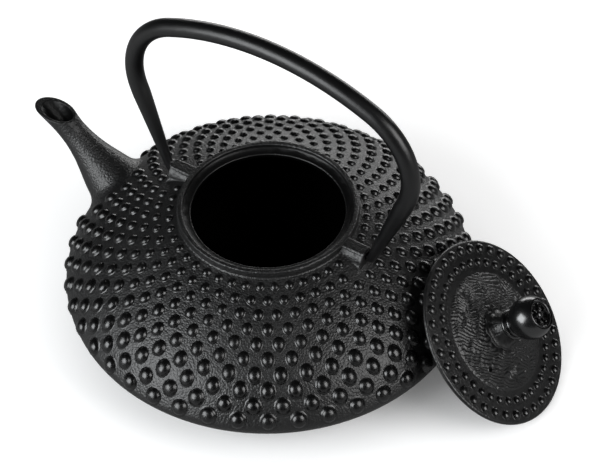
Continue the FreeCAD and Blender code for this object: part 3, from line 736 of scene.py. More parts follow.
    def build(self, name: str, places: Sequence[StudPlace], material: bpy.types.Material) -> bpy.types.Object:
        """Set studs on places.

        Args:
            name: name of the piece.
            places: where the studs stand.
            material: finish of the studs.

        Returns:
            The piece, as a plain mesh.
        """
        if self.tree is None:
            self.tree = self.build_tree()
        mesh = bpy.data.meshes.new(name)
        mesh.from_pydata([place.foot for place in places], [], [])
        for label, ways in (("axis", [place.axis for place in places]),
                            ("along", [place.along for place in places])):
            vectors = mesh.attributes.new(label, "FLOAT_VECTOR", "POINT")
            vectors.data.foreach_set("vector", [part for way in ways for part in way])
        for label, values in (("foot", [place.radius for place in places]),
                              ("oval", [place.oval for place in places])):
            mesh.attributes.new(label, "FLOAT", "POINT").data.foreach_set("value", values)
        thing = new_object(name, mesh)
        modifier = thing.modifiers.new("studs", "NODES")
        modifier.node_group = self.tree
        for item in self.tree.interface.items_tree:
            if item.in_out == "INPUT" and item.name == "Material":
                modifier[item.identifier] = material
            elif item.in_out == "INPUT" and item.name != "Geometry":
                modifier[item.identifier] = getattr(self, item.name.lower())
        return baked(thing)


def stud_places(node: bpy.types.Object) -> list[StudPlace]:
    """Find where a CAD node's studs stand, each a short six-sided frustum.

    Args:
        node: CAD node that holds the studs.

    Returns:
        One place per stud.
    """
    shape = merged_copy(node)
    places = []
    waiting = dict.fromkeys(shape.verts)
    while waiting:
        island = {}
        edge = [next(iter(waiting))]
        while edge:
            corner = edge.pop()
            if corner in island:
                continue
            island[corner] = corner.co
            del waiting[corner]
            edge.extend(link.other_vert(corner) for link in corner.link_edges)
        middle = sum(island.values(), Vector()) / len(island)
        corners = sorted(island.values(), key=lambda spot: -(spot - middle).length)[:STUD_SIDES]
        foot = sum(corners, Vector()) / len(corners)
        first = corners[0] - foot
        beside = min(corners, key=lambda spot: abs((spot - foot).dot(first)))
        axis = first.cross(beside - foot).normalized()
        if axis.dot(middle - foot) < 0.0:
            axis = -axis
        uphill = Vector((0.0, 0.0, 1.0)) - axis * axis.z
        places.append(StudPlace(foot, axis, uphill.normalized(), first.length))
    shape.free()
    return sorted(places, key=lambda place: tuple(round(part, 6) for part in place.foot))


# Pieces

@dataclass
class Pot:
    """The pot's casting and the hobnails on its shoulder."""

    crease: float = 28.0
    ledge_height: float = 68.8 * MM
    ledge_room: float = 0.05 * MM
    ledge_round: float = 0.45 * MM
    ledge_steps: int = 3
    edge_room: float = 0.2 * MM
    throat_height: float = 50.0 * MM
    throat_radius: float = 37.1 * MM
    bowl_floor: Vector = field(default_factory=lambda: Vector((0.0, 0.0, 14.0 * MM)))
    bowl_middle: Vector = field(default_factory=lambda: Vector((0.0, 0.0, 30.0 * MM)))
    bowl_crease: float = 30.0
    level_face: float = 0.9
    recess_radius: float = 40.8 * MM
    recess_room: float = 0.1 * MM
    rim_height: float = 71.2 * MM
    lip_middle: Vector = field(default_factory=lambda: Vector((-128.7 * MM, 0.0, 71.3 * MM)))
    lip_tilt: float = 0.16
    lip_cut: float = -0.10
    lip_drop: float = 1.5 * MM
    lip_run: float = 13.0 * MM
    lip_widen: float = 0.02
    lip_share: float = 0.75
    bore_start: float = -100.0 * MM
    bore_square: float = 0.5
    lug_start: float = 43.2 * MM
    lug_end: float = 55.05 * MM
    lug_root: float = 67.4 * MM
    lug_fall: float = 0.395
    lug_room: float = 1.0 * MM
    flank_top: float = 70.03 * MM
    flank_half: float = 3.5 * MM
    flank_slope: float = 0.431
    flank_edge: float = 1.2 * MM
    flank_cuts: int = 7
    barrel_middle: float = 66.0 * MM
    barrel_half: float = 5.4 * MM
    barrel_rise: float = 5.29 * MM
    peg_room: float = 2.2 * MM
    least_nail: float = 2.1 * MM
    nail_spread: float = 1.9
    ring_drop: float = 1.8 * MM
    drop_start: float = 60.0 * MM
    shoulder_bend: float = 53.8 * MM
    first_ring: float = 96.0 * MM
    last_ring: float = 48.0 * MM
    oval_start: float = 1.05
    oval_gain: float = 0.14
    oval_full: float = 0.25
    oval_loss: float = 0.07
    oval_turn: float = 0.35

    def oval(self, place: StudPlace) -> float:
        """How much longer a nail is uphill than across, by its ring on the shoulder.

        Args:
            place: where the nail stands.

        Returns:
            Length over width.
        """
        share = (self.first_ring - reach_of(place.foot)) / (self.first_ring - self.last_ring)
        gain = self.oval_gain * ramp(0.0, self.oval_full, share)
        return self.oval_start + gain - self.oval_loss * ramp(self.oval_turn, 1.0, share)

    def draw_down(self, place: StudPlace) -> None:
        """Slide a nail of the outer rings down the shoulder's curve, towards the pot's widest line.

        Args:
            place: where the nail stands.
        """
        share = max(0.0, reach_of(place.foot) - self.drop_start) / (self.first_ring - self.drop_start)
        turn = self.ring_drop * min(1.0, share) ** 2 / self.shoulder_bend
        axis, along = place.axis, place.along
        place.foot -= self.shoulder_bend * (along * math.sin(turn) + axis * (1.0 - math.cos(turn)))
        place.axis = axis * math.cos(turn) - along * math.sin(turn)
        place.along = along * math.cos(turn) + axis * math.sin(turn)

    def inside_faces(self, shape: bmesh.types.BMesh) -> set[bmesh.types.BMFace]:
        """Faces of the bowl, whose black enamel is also made dark enough to paint its shade, found by
        spreading from its floor over what faces its middle.

        Args:
            shape: mesh of the casting.

        Returns:
            The bowl's faces and those of the throat below the lid's ledge.
        """
        level = [face for face in shape.faces if face.normal.z > self.level_face]
        start = min(level, key=lambda face: (face.calc_center_median() - self.bowl_floor).length)
        limit = math.radians(self.bowl_crease)
        found = {start}
        edge_of_search = [start]
        while edge_of_search:
            face = edge_of_search.pop()
            for edge in face.edges:
                if len(edge.link_faces) != 2 or edge.calc_face_angle() > limit:
                    continue
                for other in edge.link_faces:
                    middle = other.calc_center_median()
                    if other in found or middle.x < self.bore_start:
                        continue
                    if other.normal.dot(middle - self.bowl_middle) < 0.0:
                        found.add(other)
                        edge_of_search.append(other)
        for face in shape.faces:
            middle = face.calc_center_median()
            if reach_of(middle) < self.throat_radius and self.throat_height < middle.z < self.ledge_height:
                found.add(face)
        return found

    def recut_lip(self, shape: bmesh.types.BMesh) -> None:
        """Slide the spout's end along its slope so that the lip is cut long and nearly level.

        Args:
            shape: mesh of the casting.
        """
        for corner in shape.verts:
            across = corner.co.x - self.lip_middle.x
            above = corner.co.z - self.lip_middle.z
            back = (self.lip_tilt * across - above) / (1.0 + self.lip_tilt)
            share = 1.0 - ramp(0.0, self.lip_run, back)
            if share <= 0.0 or corner.co.x > self.lip_share * self.lip_middle.x:
                continue
            across -= back
            above += back
            slide = (self.lip_cut * across - above - self.lip_drop) / (1.0 + self.lip_cut)
            corner.co.x -= slide * share
            corner.co.z += slide * share
            corner.co.y *= 1.0 + self.lip_widen * share

    def round_lugs(self, shape: bmesh.types.BMesh) -> None:
        """Swell the flanks of the two lugs into barrels, the peg holes left as they are.

        Args:
            shape: mesh of the casting.
        """
        def in_lug(corner: bmesh.types.BMVert) -> bool:
            """Whether a corner belongs to a lug."""
            across = abs(corner.co.x)
            aside = abs(corner.co.y) > self.barrel_half + self.lug_room
            if aside or not self.lug_start < across < self.lug_end:
                return False
            return corner.co.z > self.lug_root - self.lug_fall * (across - self.lug_start)

        tall = []
        for edge in shape.edges:
            first, second = edge.verts
            if in_lug(first) and in_lug(second) and abs(first.co.z - second.co.z) > self.flank_edge:
                tall.append(edge)
        bmesh.ops.subdivide_edges(shape, edges=tall, cuts=self.flank_cuts, use_grid_fill=True)
        for corner in shape.verts:
            if not in_lug(corner) or corner.co.z > self.flank_top:
                continue
            half = self.flank_half + self.flank_slope * (self.flank_top - corner.co.z)
            level = (corner.co.z - self.barrel_middle) / self.barrel_rise
            swell = self.barrel_half * math.sqrt(max(0.0, 1.0 - level * level)) - half
            push = swell * ramp(self.peg_room, half, abs(corner.co.y))
            corner.co.y += math.copysign(push, corner.co.y)
        log.info("lugs: %d edges divided", len(tall))

    def round_ledge(self, shape: bmesh.types.BMesh) -> None:
        """Take the edge off the ledge that carries the lid.

        Args:
            shape: mesh of the casting.
        """
        def on_edge(corner: bmesh.types.BMVert) -> bool:
            """Whether a corner lies on the ledge's inner edge."""
            aside = abs(reach_of(corner.co) - self.throat_radius)
            return aside < self.edge_room and abs(corner.co.z - self.ledge_height) < self.edge_room

        edges = [edge for edge in shape.edges if all(on_edge(corner) for corner in edge.verts)]
        bmesh.ops.bevel(shape, geom=edges, offset=self.ledge_round, segments=self.ledge_steps, profile=0.5,
                        affect="EDGES")
        log.info("ledge: %d edges rounded", len(edges))

    def recess_faces(self, shape: bmesh.types.BMesh) -> list[bmesh.types.BMFace]:
        """Faces of the recess that takes the lid.

        Args:
            shape: mesh of the casting.

        Returns:
            The recess's wall and ledge.
        """
        low = self.ledge_height - self.ledge_room
        wall = self.recess_radius + self.recess_room
        found = []
        for face in shape.faces:
            middle = face.calc_center_median()
            if self.throat_radius < reach_of(middle) < wall and low < middle.z < self.rim_height:
                found.append(face)
        return found

    def bore_faces(self, shape: bmesh.types.BMesh) -> list[bmesh.types.BMFace]:
        """Faces of the spout's bore near its lip, which look at the spout's own axis.

        Args:
            shape: mesh of the casting.

        Returns:
            The bore's faces.
        """
        axis = Vector((-1.0, 0.0, 1.0)).normalized()
        found = []
        for face in shape.faces:
            middle = face.calc_center_median()
            if middle.x > self.bore_start:
                continue
            aside = middle - self.lip_middle
            aside -= axis * aside.dot(axis)
            if aside.dot(face.normal) < 0.0 and abs(face.normal.dot(axis)) < self.bore_square:
                found.append(face)
        return found

    def build_casting(self, node: bpy.types.Object, palette: Palette) -> bpy.types.Object:
        """Dress the casting.

        Args:
            node: CAD node of the pot.
            palette: finishes.

        Returns:
            The casting's piece.
        """
        shape = merged_copy(node)
        self.recut_lip(shape)
        self.round_lugs(shape)
        # The recess and the bore get the finish that paints their shade; the bowl gets the near-black inside
        # finish.
        for find, coat in ((self.recess_faces, Coat.RECESS), (self.inside_faces, Coat.INSIDE),
                           (self.bore_faces, Coat.RECESS)):
            for face in find(shape):
                face.material_index = coat.value
        self.round_ledge(shape)
        coats = {Coat.CAST: palette.cast, Coat.INSIDE: palette.inside, Coat.RECESS: palette.recess}
        return evened(new_piece("pot_casting", shape, self.crease, *(coats[coat] for coat in Coat)))

    def build(self, nodes: dict[str, bpy.types.Object], studs: StudField, palette: Palette) -> None:
        """Build and place the pot's pieces.

        Args:
            nodes: CAD nodes by name.
            studs: maker of studs.
            palette: finishes.
        """
        casting = self.build_casting(nodes["pot_body"], palette)
        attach(casting, Body.POT.value)
        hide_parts("pot_body")
        log.info("pot_casting: %d faces", len(casting.data.polygons))
        places = stud_places(nodes["shoulder_hobnails"])
        for place in places:
            place.radius = self.least_nail + (place.radius - self.least_nail) * self.nail_spread
            place.oval = self.oval(place)
            self.draw_down(place)
        nails = studs.build("hobnails", places, palette.nails)
        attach(nails, Body.POT.value)
        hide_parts("shoulder_hobnails")
        log.info("hobnails: %d studs", len(places))


@dataclass
class Bail:
    """The bail handle."""

    crease: float = 40.0

    def build(self, node: bpy.types.Object, palette: Palette) -> None:
        """Dress the bail.

        Args:
            node: CAD node of the bail.
            palette: finishes.
        """
        thing = evened(new_piece("bail", merged_copy(node), self.crease, palette.bail))
        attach(thing, Body.BAIL.value)
        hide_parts("bail_handle")
        log.info("bail: %d faces", len(thing.data.polygons))


@dataclass(frozen=True)
class Wrinkles:
    """Folds of the lid's crinkled skin, longer one way than the other and swayed by noise.

    Each triple is a noise: its fineness along the folds, its fineness across them, and its layer.
    """

    depth: float = 0.56 * MM
    pitch: float = 1.7 * MM
    length: float = 5.0 * MM
    heading: float = 26.0
    wide_sway: Triple = (0.9, 0.22, 3.1)
    wide_share: float = 1.5
    tight_sway: Triple = (2.3, 0.6, 5.3)
    tight_share: float = 0.45
    creases: Triple = (3.1, 1.9, 7.7)
    crease_share: float = 0.25
    patches: Triple = (0.8, 0.25, 0.6)
    patch_share: float = 0.6
    patch_least: float = 0.7
    fold_share: float = 0.5
    sink: float = 0.2

    def lift(self, reach: float, turn: float) -> float:
        """Height of the folds.

        Args:
            reach: distance from the lid's axis.
            turn: angle round it.

        Returns:
            Height over the plain skin, as a share of the depth.
        """
        heading = turn - math.radians(self.heading)
        along = reach * math.cos(heading) / self.length
        across = reach * math.sin(heading) / self.pitch

        def layer(grain: Triple) -> float:
            """Value of one noise."""
            return noise.noise(Vector((along * grain[0], across * grain[1], grain[2])))

        sway = self.wide_share * layer(self.wide_sway) + self.tight_share * layer(self.tight_sway)
        fold = math.cos(2.0 * math.pi * (across + sway))
        strength = self.patch_least + self.patch_share * layer(self.patches)
        return (self.fold_share * fold - self.sink + self.crease_share * layer(self.creases)) * strength


@dataclass
class Lid:
    """The lid and all that is fixed to it, built flat and then laid where it leans."""

    turn: float = 3.8
    lean: float = 43.3
    lean_side: float = 10.4
    washer_middle: float = 2.4 * MM
    radius: float = 45.3 * MM
    plate: float = 2.2 * MM
    edge_steps: int = 8
    middle_radius: float = 29.5 * MM
    step: float = 0.7 * MM
    step_run: float = 1.8 * MM
    step_rows: int = 6
    crown: float = 5.4 * MM
    dome_bend: float = 120.0 * MM
    dome_rows: int = 64
    land_radius: float = 12.0 * MM
    land_under: float = 3.0 * MM
    flange_radius: float = 36.2 * MM
    flange_bore: float = 33.6 * MM
    flange_depth: float = 7.1 * MM
    flange_bevel: float = 0.4 * MM
    hole_radius: float = 2.55 * MM
    vent_radius: float = 1.4 * MM
    vent_reach: float = 22.0 * MM
    vent_angle: float = 278.0
    vent_sides: int = 32
    drill_length: float = 21.6 * MM
    nails_in_ring: int = 37
    nail_rings: tuple[Triple, ...] = ((41.0 * MM, 0.0, 2.85 * MM), (34.2 * MM, 0.5, 2.5 * MM))
    wrinkles: Wrinkles = Wrinkles()
    skin_level: float = 0.05
    skin_start: float = 0.7
    skin_rise: tuple[float, float] = (0.8, 1.1)
    skin_fade: float = 1.6 * MM
    crease: float = 40.0
    segments: int = 440

    def place(self, washer: bpy.types.Object) -> Matrix:
        """Where the lid leans, read from the washer under it.

        Args:
            washer: CAD node of the washer, which is centred on the lid's axis.

        Returns:
            Matrix from the flat lid to the part's frame.
        """
        facing = Matrix.Rotation(math.radians(self.lean_side), 4, "Z")
        lean = Matrix.Rotation(math.radians(self.lean), 4, "Y")
        turn = Matrix.Rotation(math.radians(self.turn), 4, "Z")
        pose = facing @ lean @ turn
        normal = pose.to_3x3() @ Vector((0.0, 0.0, 1.0))
        low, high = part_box(washer.name)
        base = (low + high) / 2.0 - normal * self.washer_middle
        return Matrix.Translation(base) @ pose

    def section(self) -> Profile:
        """Half section of the disc, from the stud hole out over the top and back underneath.

        Returns:
            The closed outline.
        """
        edge = self.plate / 2.0
        step_top = self.plate + self.step
        step_reach = self.middle_radius - self.step_run
        run = step_reach - self.land_radius
        bulge = (run / 2.0) ** 2 / (2.0 * self.dome_bend)
        outline = [(self.hole_radius, self.crown)]
        for row in range(self.dome_rows + 1):
            share = row / self.dome_rows
            height = self.crown - (self.crown - step_top) * share + 4.0 * share * (1.0 - share) * bulge
            outline.append((self.land_radius + run * share, height))
        for row in range(1, self.step_rows + 1):
            share = row / self.step_rows
            outline.append((step_reach + self.step_run * share, step_top - self.step * ramp(0.0, 1.0, share)))
        outline += arc((self.radius - edge, edge), edge, 90.0, -90.0, self.edge_steps)
        bevel = self.flange_bevel
        outline += [
            (self.flange_radius + bevel, 0.0),
            (self.flange_radius, -bevel),
            (self.flange_radius, bevel - self.flange_depth),
            (self.flange_radius - bevel, -self.flange_depth),
            (self.flange_bore + bevel, -self.flange_depth),
            (self.flange_bore, bevel - self.flange_depth),
            (self.flange_bore, 0.0),
            (self.land_radius, self.land_under),
            (self.hole_radius, self.land_under),
        ]
        return outline

    def crinkle(self, reach: float, height: float, turn: float) -> tuple[float, float]:
        """Raise the crinkled skin of the domed middle.

        Args:
            reach: distance from the axis.
            height: height of the plain section.
            turn: angle round the axis.

        Returns:
            Distance and height of the crinkled point.
        """
        top = height > self.plate + self.skin_level * self.step
        if not top or reach < self.skin_start * self.land_radius:
            return reach, height
        low, high = self.skin_rise
        inner = ramp(self.land_radius * low, self.land_radius * high, reach)
        outer = 1.0 - ramp(self.middle_radius - self.skin_fade, self.middle_radius, reach)
        return reach, height + self.wrinkles.lift(reach, turn) * inner * outer * self.wrinkles.depth

    def build_disc(self, palette: Palette) -> bpy.types.Object:
        """Spin the disc and drill its vent.

        Args:
            palette: finishes.

        Returns:
            The disc's piece, still flat.
        """
        shape = lathe(self.section(), self.segments, self.crinkle, closed=True)
        disc = new_piece("lid_disc", shape, self.crease)
        drill_shape = bmesh.new()
        angle = math.radians(self.vent_angle)
        middle = Vector((math.cos(angle), math.sin(angle), 0.0)) * self.vent_reach
        bmesh.ops.create_cone(
            drill_shape,
            cap_ends=True,
            segments=self.vent_sides,
            radius1=self.vent_radius,
            radius2=self.vent_radius,
            depth=self.drill_length,
            matrix=Matrix.Translation(middle),
        )
        drill = new_piece("vent_drill", drill_shape, self.crease)
        cut = disc.modifiers.new("vent", "BOOLEAN")
        cut.operation = "DIFFERENCE"
        cut.solver = "EXACT"
        cut.object = drill
        baked(disc)
        bpy.data.objects.remove(drill)
        disc.data.materials.clear()
        disc.data.materials.append(palette.lid)
        smooth(disc.data, self.crease)
        return disc

    def nail_places(self) -> Iterable[StudPlace]:
        """Places of the nails on the lid's flat band.

        Returns:
            One place per nail, on the flat lid.
        """
        for reach, shift, radius in self.nail_rings:
            for index in range(self.nails_in_ring):
                angle = 2.0 * math.pi * (index + shift) / self.nails_in_ring
                foot = Vector((reach * math.cos(angle), reach * math.sin(angle), self.plate))
                yield StudPlace(foot, Vector((0.0, 0.0, 1.0)), Vector((1.0, 0.0, 0.0)), radius)

    def settle(self, thing: bpy.types.Object, pose: Matrix, slot: Slot, *nodes: str) -> None:
        """Lay a piece where the lid leans and let it ride on the lid.

        Args:
            thing: piece on the flat lid.
            pose: where the lid leans.
            slot: not used.
            nodes: CAD nodes that it stands for.
        """
        thing.data.transform(pose)
        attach(thing, Body.LID.value)
        if nodes:
            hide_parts(*nodes)
        log.info("%s: %d faces", thing.name, len(thing.data.polygons))

    def build(self, nodes: dict[str, bpy.types.Object], studs: StudField, palette: Palette) -> None:
        """Build the lid, its nails, the knob and its seat, and dress the stud and washer.

        Args:
            nodes: CAD nodes by name.
            studs: maker of studs.
            palette: finishes.
        """
        pose = self.place(nodes["stud_washer"])
        self.settle(self.build_disc(palette), pose, Slot.LID_IRON, "lid")
        nails = studs.build("lid_nails", list(self.nail_places()), palette.nails)
        self.settle(nails, pose, Slot.LID_IRON)
        self.settle(KnobSeat(crown=self.crown).build(palette), pose, Slot.KNOB_BLACK, "knob_seat")
        self.settle(Knob().build(palette), pose, Slot.KNOB_BLACK, "lid_knob")
        for name in ("knob_stud", "stud_washer"):
            nodes[name].data.materials.clear()
            nodes[name].data.materials.append(palette.steel)
            log.info("%s: dressed", name)


@dataclass
class KnobSeat:
    """The scalloped, waisted pedestal between the lid and the knob."""

    crown: float
    top_radius: float = 5.8 * MM
    waist_rows: int = 14
    waist_power: float = 2.6
    edge_height: float = 1.0 * MM
    edge_round: float = 0.5 * MM
    edge_turn: float = 80.0
    edge_steps: int = 4
    lobe_radius: float = 10.8 * MM
    notch: float = 1.1 * MM
    lobes: int = 8
    crease: float = 50.0
    segments: int = 192

    def scallop(self, reach: float, height: float, turn: float) -> tuple[float, float]:
        """Stretch a round pedestal to the scalloped outline.

        Args:
            reach: distance from the axis on the round pedestal.
            height: height on the round pedestal.
            turn: angle round the axis.

        Returns:
            Distance and height of the scalloped point.
        """
        outline = self.lobe_radius - self.notch * (1.0 - abs(math.cos(self.lobes * turn / 2.0)))
        share = ramp(self.top_radius, self.lobe_radius, reach)
        return reach + (outline - self.lobe_radius) * share, height

    def build(self, palette: Palette) -> bpy.types.Object:
        """Build the seat on the flat lid.

        Args:
            palette: finishes.

        Returns:
            The seat's piece.
        """
        edge_top = self.crown + self.edge_height
        edge_reach = self.lobe_radius - self.edge_round
        outline = [(0.0, SEAT_TOP), (self.top_radius, SEAT_TOP)]
        for row in range(1, self.waist_rows + 1):
            share = row / self.waist_rows
            fall = 1.0 - (1.0 - share) ** self.waist_power
            reach = self.top_radius + (edge_reach - self.top_radius) * share
            outline.append((reach, SEAT_TOP - (SEAT_TOP - edge_top) * fall))
        corner = (edge_reach, edge_top - self.edge_round)
        outline += arc(corner, self.edge_round, self.edge_turn, 0.0, self.edge_steps)
        outline += [(self.lobe_radius, self.crown), (0.0, self.crown)]
        shape = lathe(outline, self.segments, self.scallop)
        return new_piece("knob_scallop_seat", shape, self.crease, palette.lid)


@dataclass
class Knob:
    """The turned bulb with a flower sunk in its crown."""

    foot_radius: float = 7.4 * MM
    foot_height: float = 2.3 * MM
    foot_turn: float = 80.0
    neck_radius: float = 5.6 * MM
    neck_flare: float = 0.2 * MM
    neck_rise: float = 0.1 * MM
    waist_cut: float = 0.25 * MM
    ball_radius: float = 10.3 * MM
    ball_middle: float = 25.05 * MM
    ball_steps: int = 30
    shelf_width: float = 0.7 * MM
    groove: float = 0.5 * MM
    groove_width: float = 0.35 * MM
    rim_radius: float = 6.9 * MM
    rim_width: float = 1.2 * MM
    rim_turn: float = 10.0
    round_steps: int = 10
    top: float = 32.0 * MM
    field_drop: float = 0.9 * MM
    field_rows: int = 26
    pits: int = 6
    pit_start: float = 2.1 * MM
    pit_end: float = 5.3 * MM
    pit_depth: float = 1.7 * MM
    pit_slope: float = 0.5 * MM
    spoke: float = 0.35 * MM
    boss_radius: float = 1.9 * MM
    boss_rise: float = 1.1 * MM
    crease: float = 55.0
    segments: int = 144

    def flower(self, reach: float, height: float, turn: float) -> tuple[float, float]:
        """Sink the flower's pits and raise its boss.

        Args:
            reach: distance from the axis.
            height: height of the plain section.
            turn: angle round the axis.

        Returns:
            Distance and height of the shaped point.
        """
        if height < self.top - 2.0 * self.field_drop or reach > self.rim_radius - self.rim_width:
            return reach, height
        boss = self.boss_rise * math.sqrt(max(1.0 - (reach / self.boss_radius) ** 2, 0.0))
        pitch = 2.0 * math.pi / self.pits
        beside = turn % pitch
        off_spoke = reach * math.sin(min(beside, pitch - beside))
        sunk = ramp(self.spoke, self.spoke + self.pit_slope, off_spoke)
        sunk *= ramp(self.pit_start, self.pit_start + self.pit_slope, reach)
        sunk *= 1.0 - ramp(self.pit_end - self.pit_slope, self.pit_end, reach)
        return reach, height + boss - self.pit_depth * sunk

    def section(self) -> Profile:
        """Half section from the foot to the middle of the crown.

        Returns:
            The outline.
        """
        foot_round = self.foot_height / 2.0
        foot_edge = self.foot_radius - foot_round
        foot_top = SEAT_TOP + self.foot_height
        low_angle = -math.degrees(math.acos(self.neck_radius / self.ball_radius))
        ball_low = self.ball_middle + self.ball_radius * math.sin(math.radians(low_angle))
        outline = [(0.0, SEAT_TOP)]
        foot_middle = (foot_edge, SEAT_TOP + foot_round)
        outline += arc(foot_middle, foot_round, -90.0, self.foot_turn, self.round_steps)
        outline += [
            (foot_edge, foot_top),
            (self.neck_radius + self.neck_flare, foot_top + self.neck_rise),
            (self.neck_radius - self.waist_cut, (foot_top + ball_low) / 2.0),
        ]
        high_angle = math.degrees(math.acos((self.rim_radius + self.shelf_width) / self.ball_radius))
        outline += arc((0.0, self.ball_middle), self.ball_radius, low_angle, high_angle, self.ball_steps)
        shelf = self.ball_middle + self.ball_radius * math.sin(math.radians(high_angle))
        outline += [
            (self.rim_radius + self.groove_width, shelf - self.groove),
            (self.rim_radius, shelf - self.groove),
        ]
        rim_round = self.rim_width / 2.0
        rim_middle = (self.rim_radius - rim_round, self.top - rim_round)
        outline += arc(rim_middle, rim_round, self.rim_turn, 180.0 - self.rim_turn, self.round_steps)
        field_edge = self.rim_radius - self.rim_width
        for row in range(self.field_rows + 1):
            outline.append((field_edge * (1.0 - row / self.field_rows), self.top - self.field_drop))
        return outline

    def build(self, palette: Palette) -> bpy.types.Object:
        """Build the knob on the flat lid.

        Args:
            palette: finishes.

        Returns:
            The knob's piece.
        """
        shape = lathe(self.section(), self.segments, self.flower)
        return new_piece("knob_bulb", shape, self.crease, palette.knob)


# Stage

@dataclass(frozen=True)
class Softbox:
    """A soft rectangular light, placed by its direction from the pot."""

    name: str
    azimuth: float
    elevation: float
    distance: float
    width: float
    height: float
    power: float
    colour: Triple = (1.0, 1.0, 1.0)

    def build(self, target: Vector) -> None:
        """Hang the light so that it faces the pot.

        Args:
            target: point that it faces.
        """
        lamp = bpy.data.lights.new(self.name, "AREA")
        lamp.shape = "RECTANGLE"
        lamp.size = self.width
        lamp.size_y = self.height
        lamp.energy = self.power
        lamp.color = self.colour
        turn = math.radians(self.azimuth)
        rise = math.radians(self.elevation)
        way = Vector((math.cos(rise) * math.cos(turn), math.cos(rise) * math.sin(turn), math.sin(rise)))
        thing = new_object(self.name, lamp)
        thing.location = target + way * self.distance
        thing.rotation_euler = (-way).to_track_quat("-Z", "Y").to_euler()


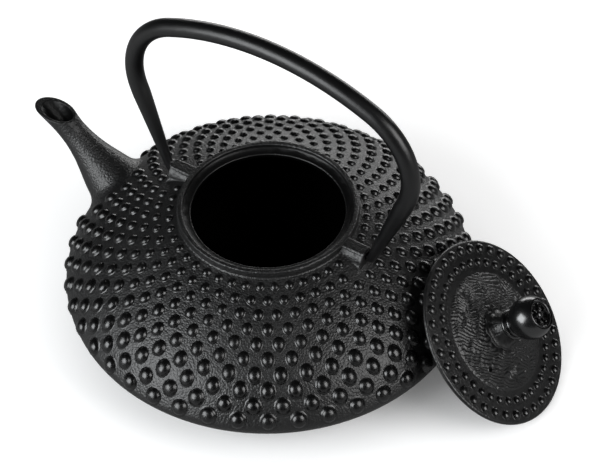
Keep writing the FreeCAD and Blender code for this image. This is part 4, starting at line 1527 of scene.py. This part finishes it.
@dataclass
class Studio:
    """White table, soft lights and the camera."""

    target: Vector = field(default_factory=lambda: Vector((0.0, 0.0, 40.0 * MM)))
    floor_radius: float = 4.0
    floor_sides: int = 96
    floor_tone: float = 0.82
    # Tone of the table as reflections see it, a painted darker floor.
    floor_dim: float = 0.35
    floor_glow: float = 0.62
    floor_mirrored: float = 0.05
    shade_reach: float = 0.09
    shade_samples: int = 8
    shadow_reach: float = 0.22
    shadow_end: float = 0.66
    room_low: float = 0.04
    room_middle: float = 0.02
    room_high: float = 0.015
    room_turn: float = 0.3
    camera_place: Vector = field(default_factory=lambda: Vector((0.34770, -0.50781, 0.72094)))
    camera_heading: float = 33.0
    camera_dip: float = 47.3735
    camera_roll: float = -0.6824
    camera_near: float = 0.01
    lens: float = 112.908
    sensor: float = 36.0
    lights: tuple[Softbox, ...] = (
        Softbox("left_softbox", 247.0, 26.0, 0.9, 0.65, 0.6, 9.3, (0.96, 0.985, 1.0)),
        Softbox("right_softbox", 0.0, 32.0, 0.9, 0.5, 0.55, 4.8),
        Softbox("back_softbox", 107.0, 8.0, 1.0, 1.1, 0.3, 4.4),
    )

    def build_floor(self) -> None:
        """Lay a white table that keeps the teapot's shadow, with a painted contact shadow, painted shade
        round the teapot and a painted darker floor in reflections.
        """
        shape = bmesh.new()
        bmesh.ops.create_circle(shape, cap_ends=True, segments=self.floor_sides, radius=self.floor_radius)
        mesh = bpy.data.meshes.new("table")
        shape.to_mesh(mesh)
        shape.free()
        table = new_object("table", mesh)
        material = bpy.data.materials.new("white_table")
        wiring = cleared(material)
        seen = wiring.add("ShaderNodeLightPath").outputs
        # Painted shade in reflections: glossy rays see the table darker than the camera does.
        tone = wiring.tint(seen["Is Glossy Ray"], grey(self.floor_tone), grey(self.floor_dim))
        matt = wiring.add("ShaderNodeBsdfDiffuse", {"Color": tone}).outputs[0]
        mirrored = wiring.math("MAXIMUM", seen["Is Glossy Ray"], seen["Is Transmission Ray"])
        # Painted contact shadow: ambient occlusion darkens the table's glow near the teapot and the lid.
        feeds = {"Distance": self.shade_reach}
        open_sky = wiring.add("ShaderNodeAmbientOcclusion", feeds, samples=self.shade_samples).outputs["AO"]
        # Painted shade: the glow seen by the camera is lower within the shadow's reach of the middle and
        # grows to full white further out.
        place = wiring.add("ShaderNodeTexCoord").outputs["Object"]
        reach = wiring.add("ShaderNodeVectorMath", {0: place}, operation="LENGTH").outputs["Value"]
        feeds = {
            "Value": reach,
            "From Min": self.shadow_reach,
            "From Max": self.shadow_end,
            "To Min": self.floor_glow,
            "To Max": 1.0,
        }
        paler = wiring.add("ShaderNodeMapRange", feeds, interpolation_type="SMOOTHSTEP").outputs["Result"]
        direct = wiring.math("MULTIPLY", seen["Is Camera Ray"], paler)
        shown = wiring.math("MULTIPLY_ADD", mirrored, self.floor_mirrored, direct)
        strength = wiring.math("MULTIPLY", shown, open_sky)
        glow = wiring.add("ShaderNodeEmission", {"Strength": strength}).outputs[0]
        both = wiring.add("ShaderNodeAddShader", {0: matt, 1: glow}).outputs[0]
        wiring.add("ShaderNodeOutputMaterial", {"Surface": both})
        mesh.materials.append(material)

    def build_world(self) -> None:
        """Pale surroundings near the table, darker overhead, and white to the camera."""
        world = bpy.data.worlds.new("studio")
        bpy.context.scene.world = world
        wiring = cleared(world)
        way = wiring.add("ShaderNodeTexCoord").outputs["Generated"]
        axes = wiring.add("ShaderNodeSeparateXYZ", {0: way}).outputs
        shade = wiring.add("ShaderNodeValToRGB", {"Fac": axes["Z"]})
        stops = shade.color_ramp.elements
        stops[0].color = grey(self.room_low)
        stops[1].color = grey(self.room_high)
        stops.new(self.room_turn).color = grey(self.room_middle)
        room = wiring.add("ShaderNodeBackground", {"Color": shade.outputs["Color"]}).outputs[0]
        white = wiring.add("ShaderNodeBackground", {"Color": grey(1.0)}).outputs[0]
        seen = wiring.add("ShaderNodeLightPath").outputs["Is Camera Ray"]
        choice = wiring.add("ShaderNodeMixShader", {"Fac": seen, 1: room, 2: white}).outputs[0]
        wiring.add("ShaderNodeOutputWorld", {"Surface": choice})

    def build_camera(self) -> None:
        """Stand the camera where the photograph was taken from."""
        eye = bpy.data.cameras.new("camera")
        eye.lens = self.lens
        eye.sensor_width = self.sensor
        eye.sensor_fit = "HORIZONTAL"
        eye.clip_start = self.camera_near
        thing = new_object("camera", eye)
        heading = Matrix.Rotation(math.radians(self.camera_heading), 4, "Z")
        dip = Matrix.Rotation(math.radians(90.0 - self.camera_dip), 4, "X")
        roll = Matrix.Rotation(math.radians(self.camera_roll), 4, "Z")
        thing.matrix_world = Matrix.Translation(self.camera_place) @ heading @ dip @ roll
        bpy.context.scene.camera = thing

    def build(self) -> None:
        """Set up the table, the surroundings, the lights and the camera."""
        self.build_floor()
        self.build_world()
        for light in self.lights:
            light.build(self.target)
        self.build_camera()
        bpy.context.scene.view_settings.view_transform = "Standard"
        log.info("studio: %d lights", len(self.lights))


def main() -> None:
    """Build every piece of the teapot and the studio round it."""
    logging.basicConfig(level=logging.INFO, format="%(name)s: %(message)s")
    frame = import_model()
    nodes = frame["nodes"]
    palette = Palette.make()
    studs = StudField()
    Pot().build(nodes, studs, palette)
    Bail().build(nodes["bail_handle"], palette)
    Lid().build(nodes, studs, palette)
    Studio().build()


if __name__ == "__main__":
    main()
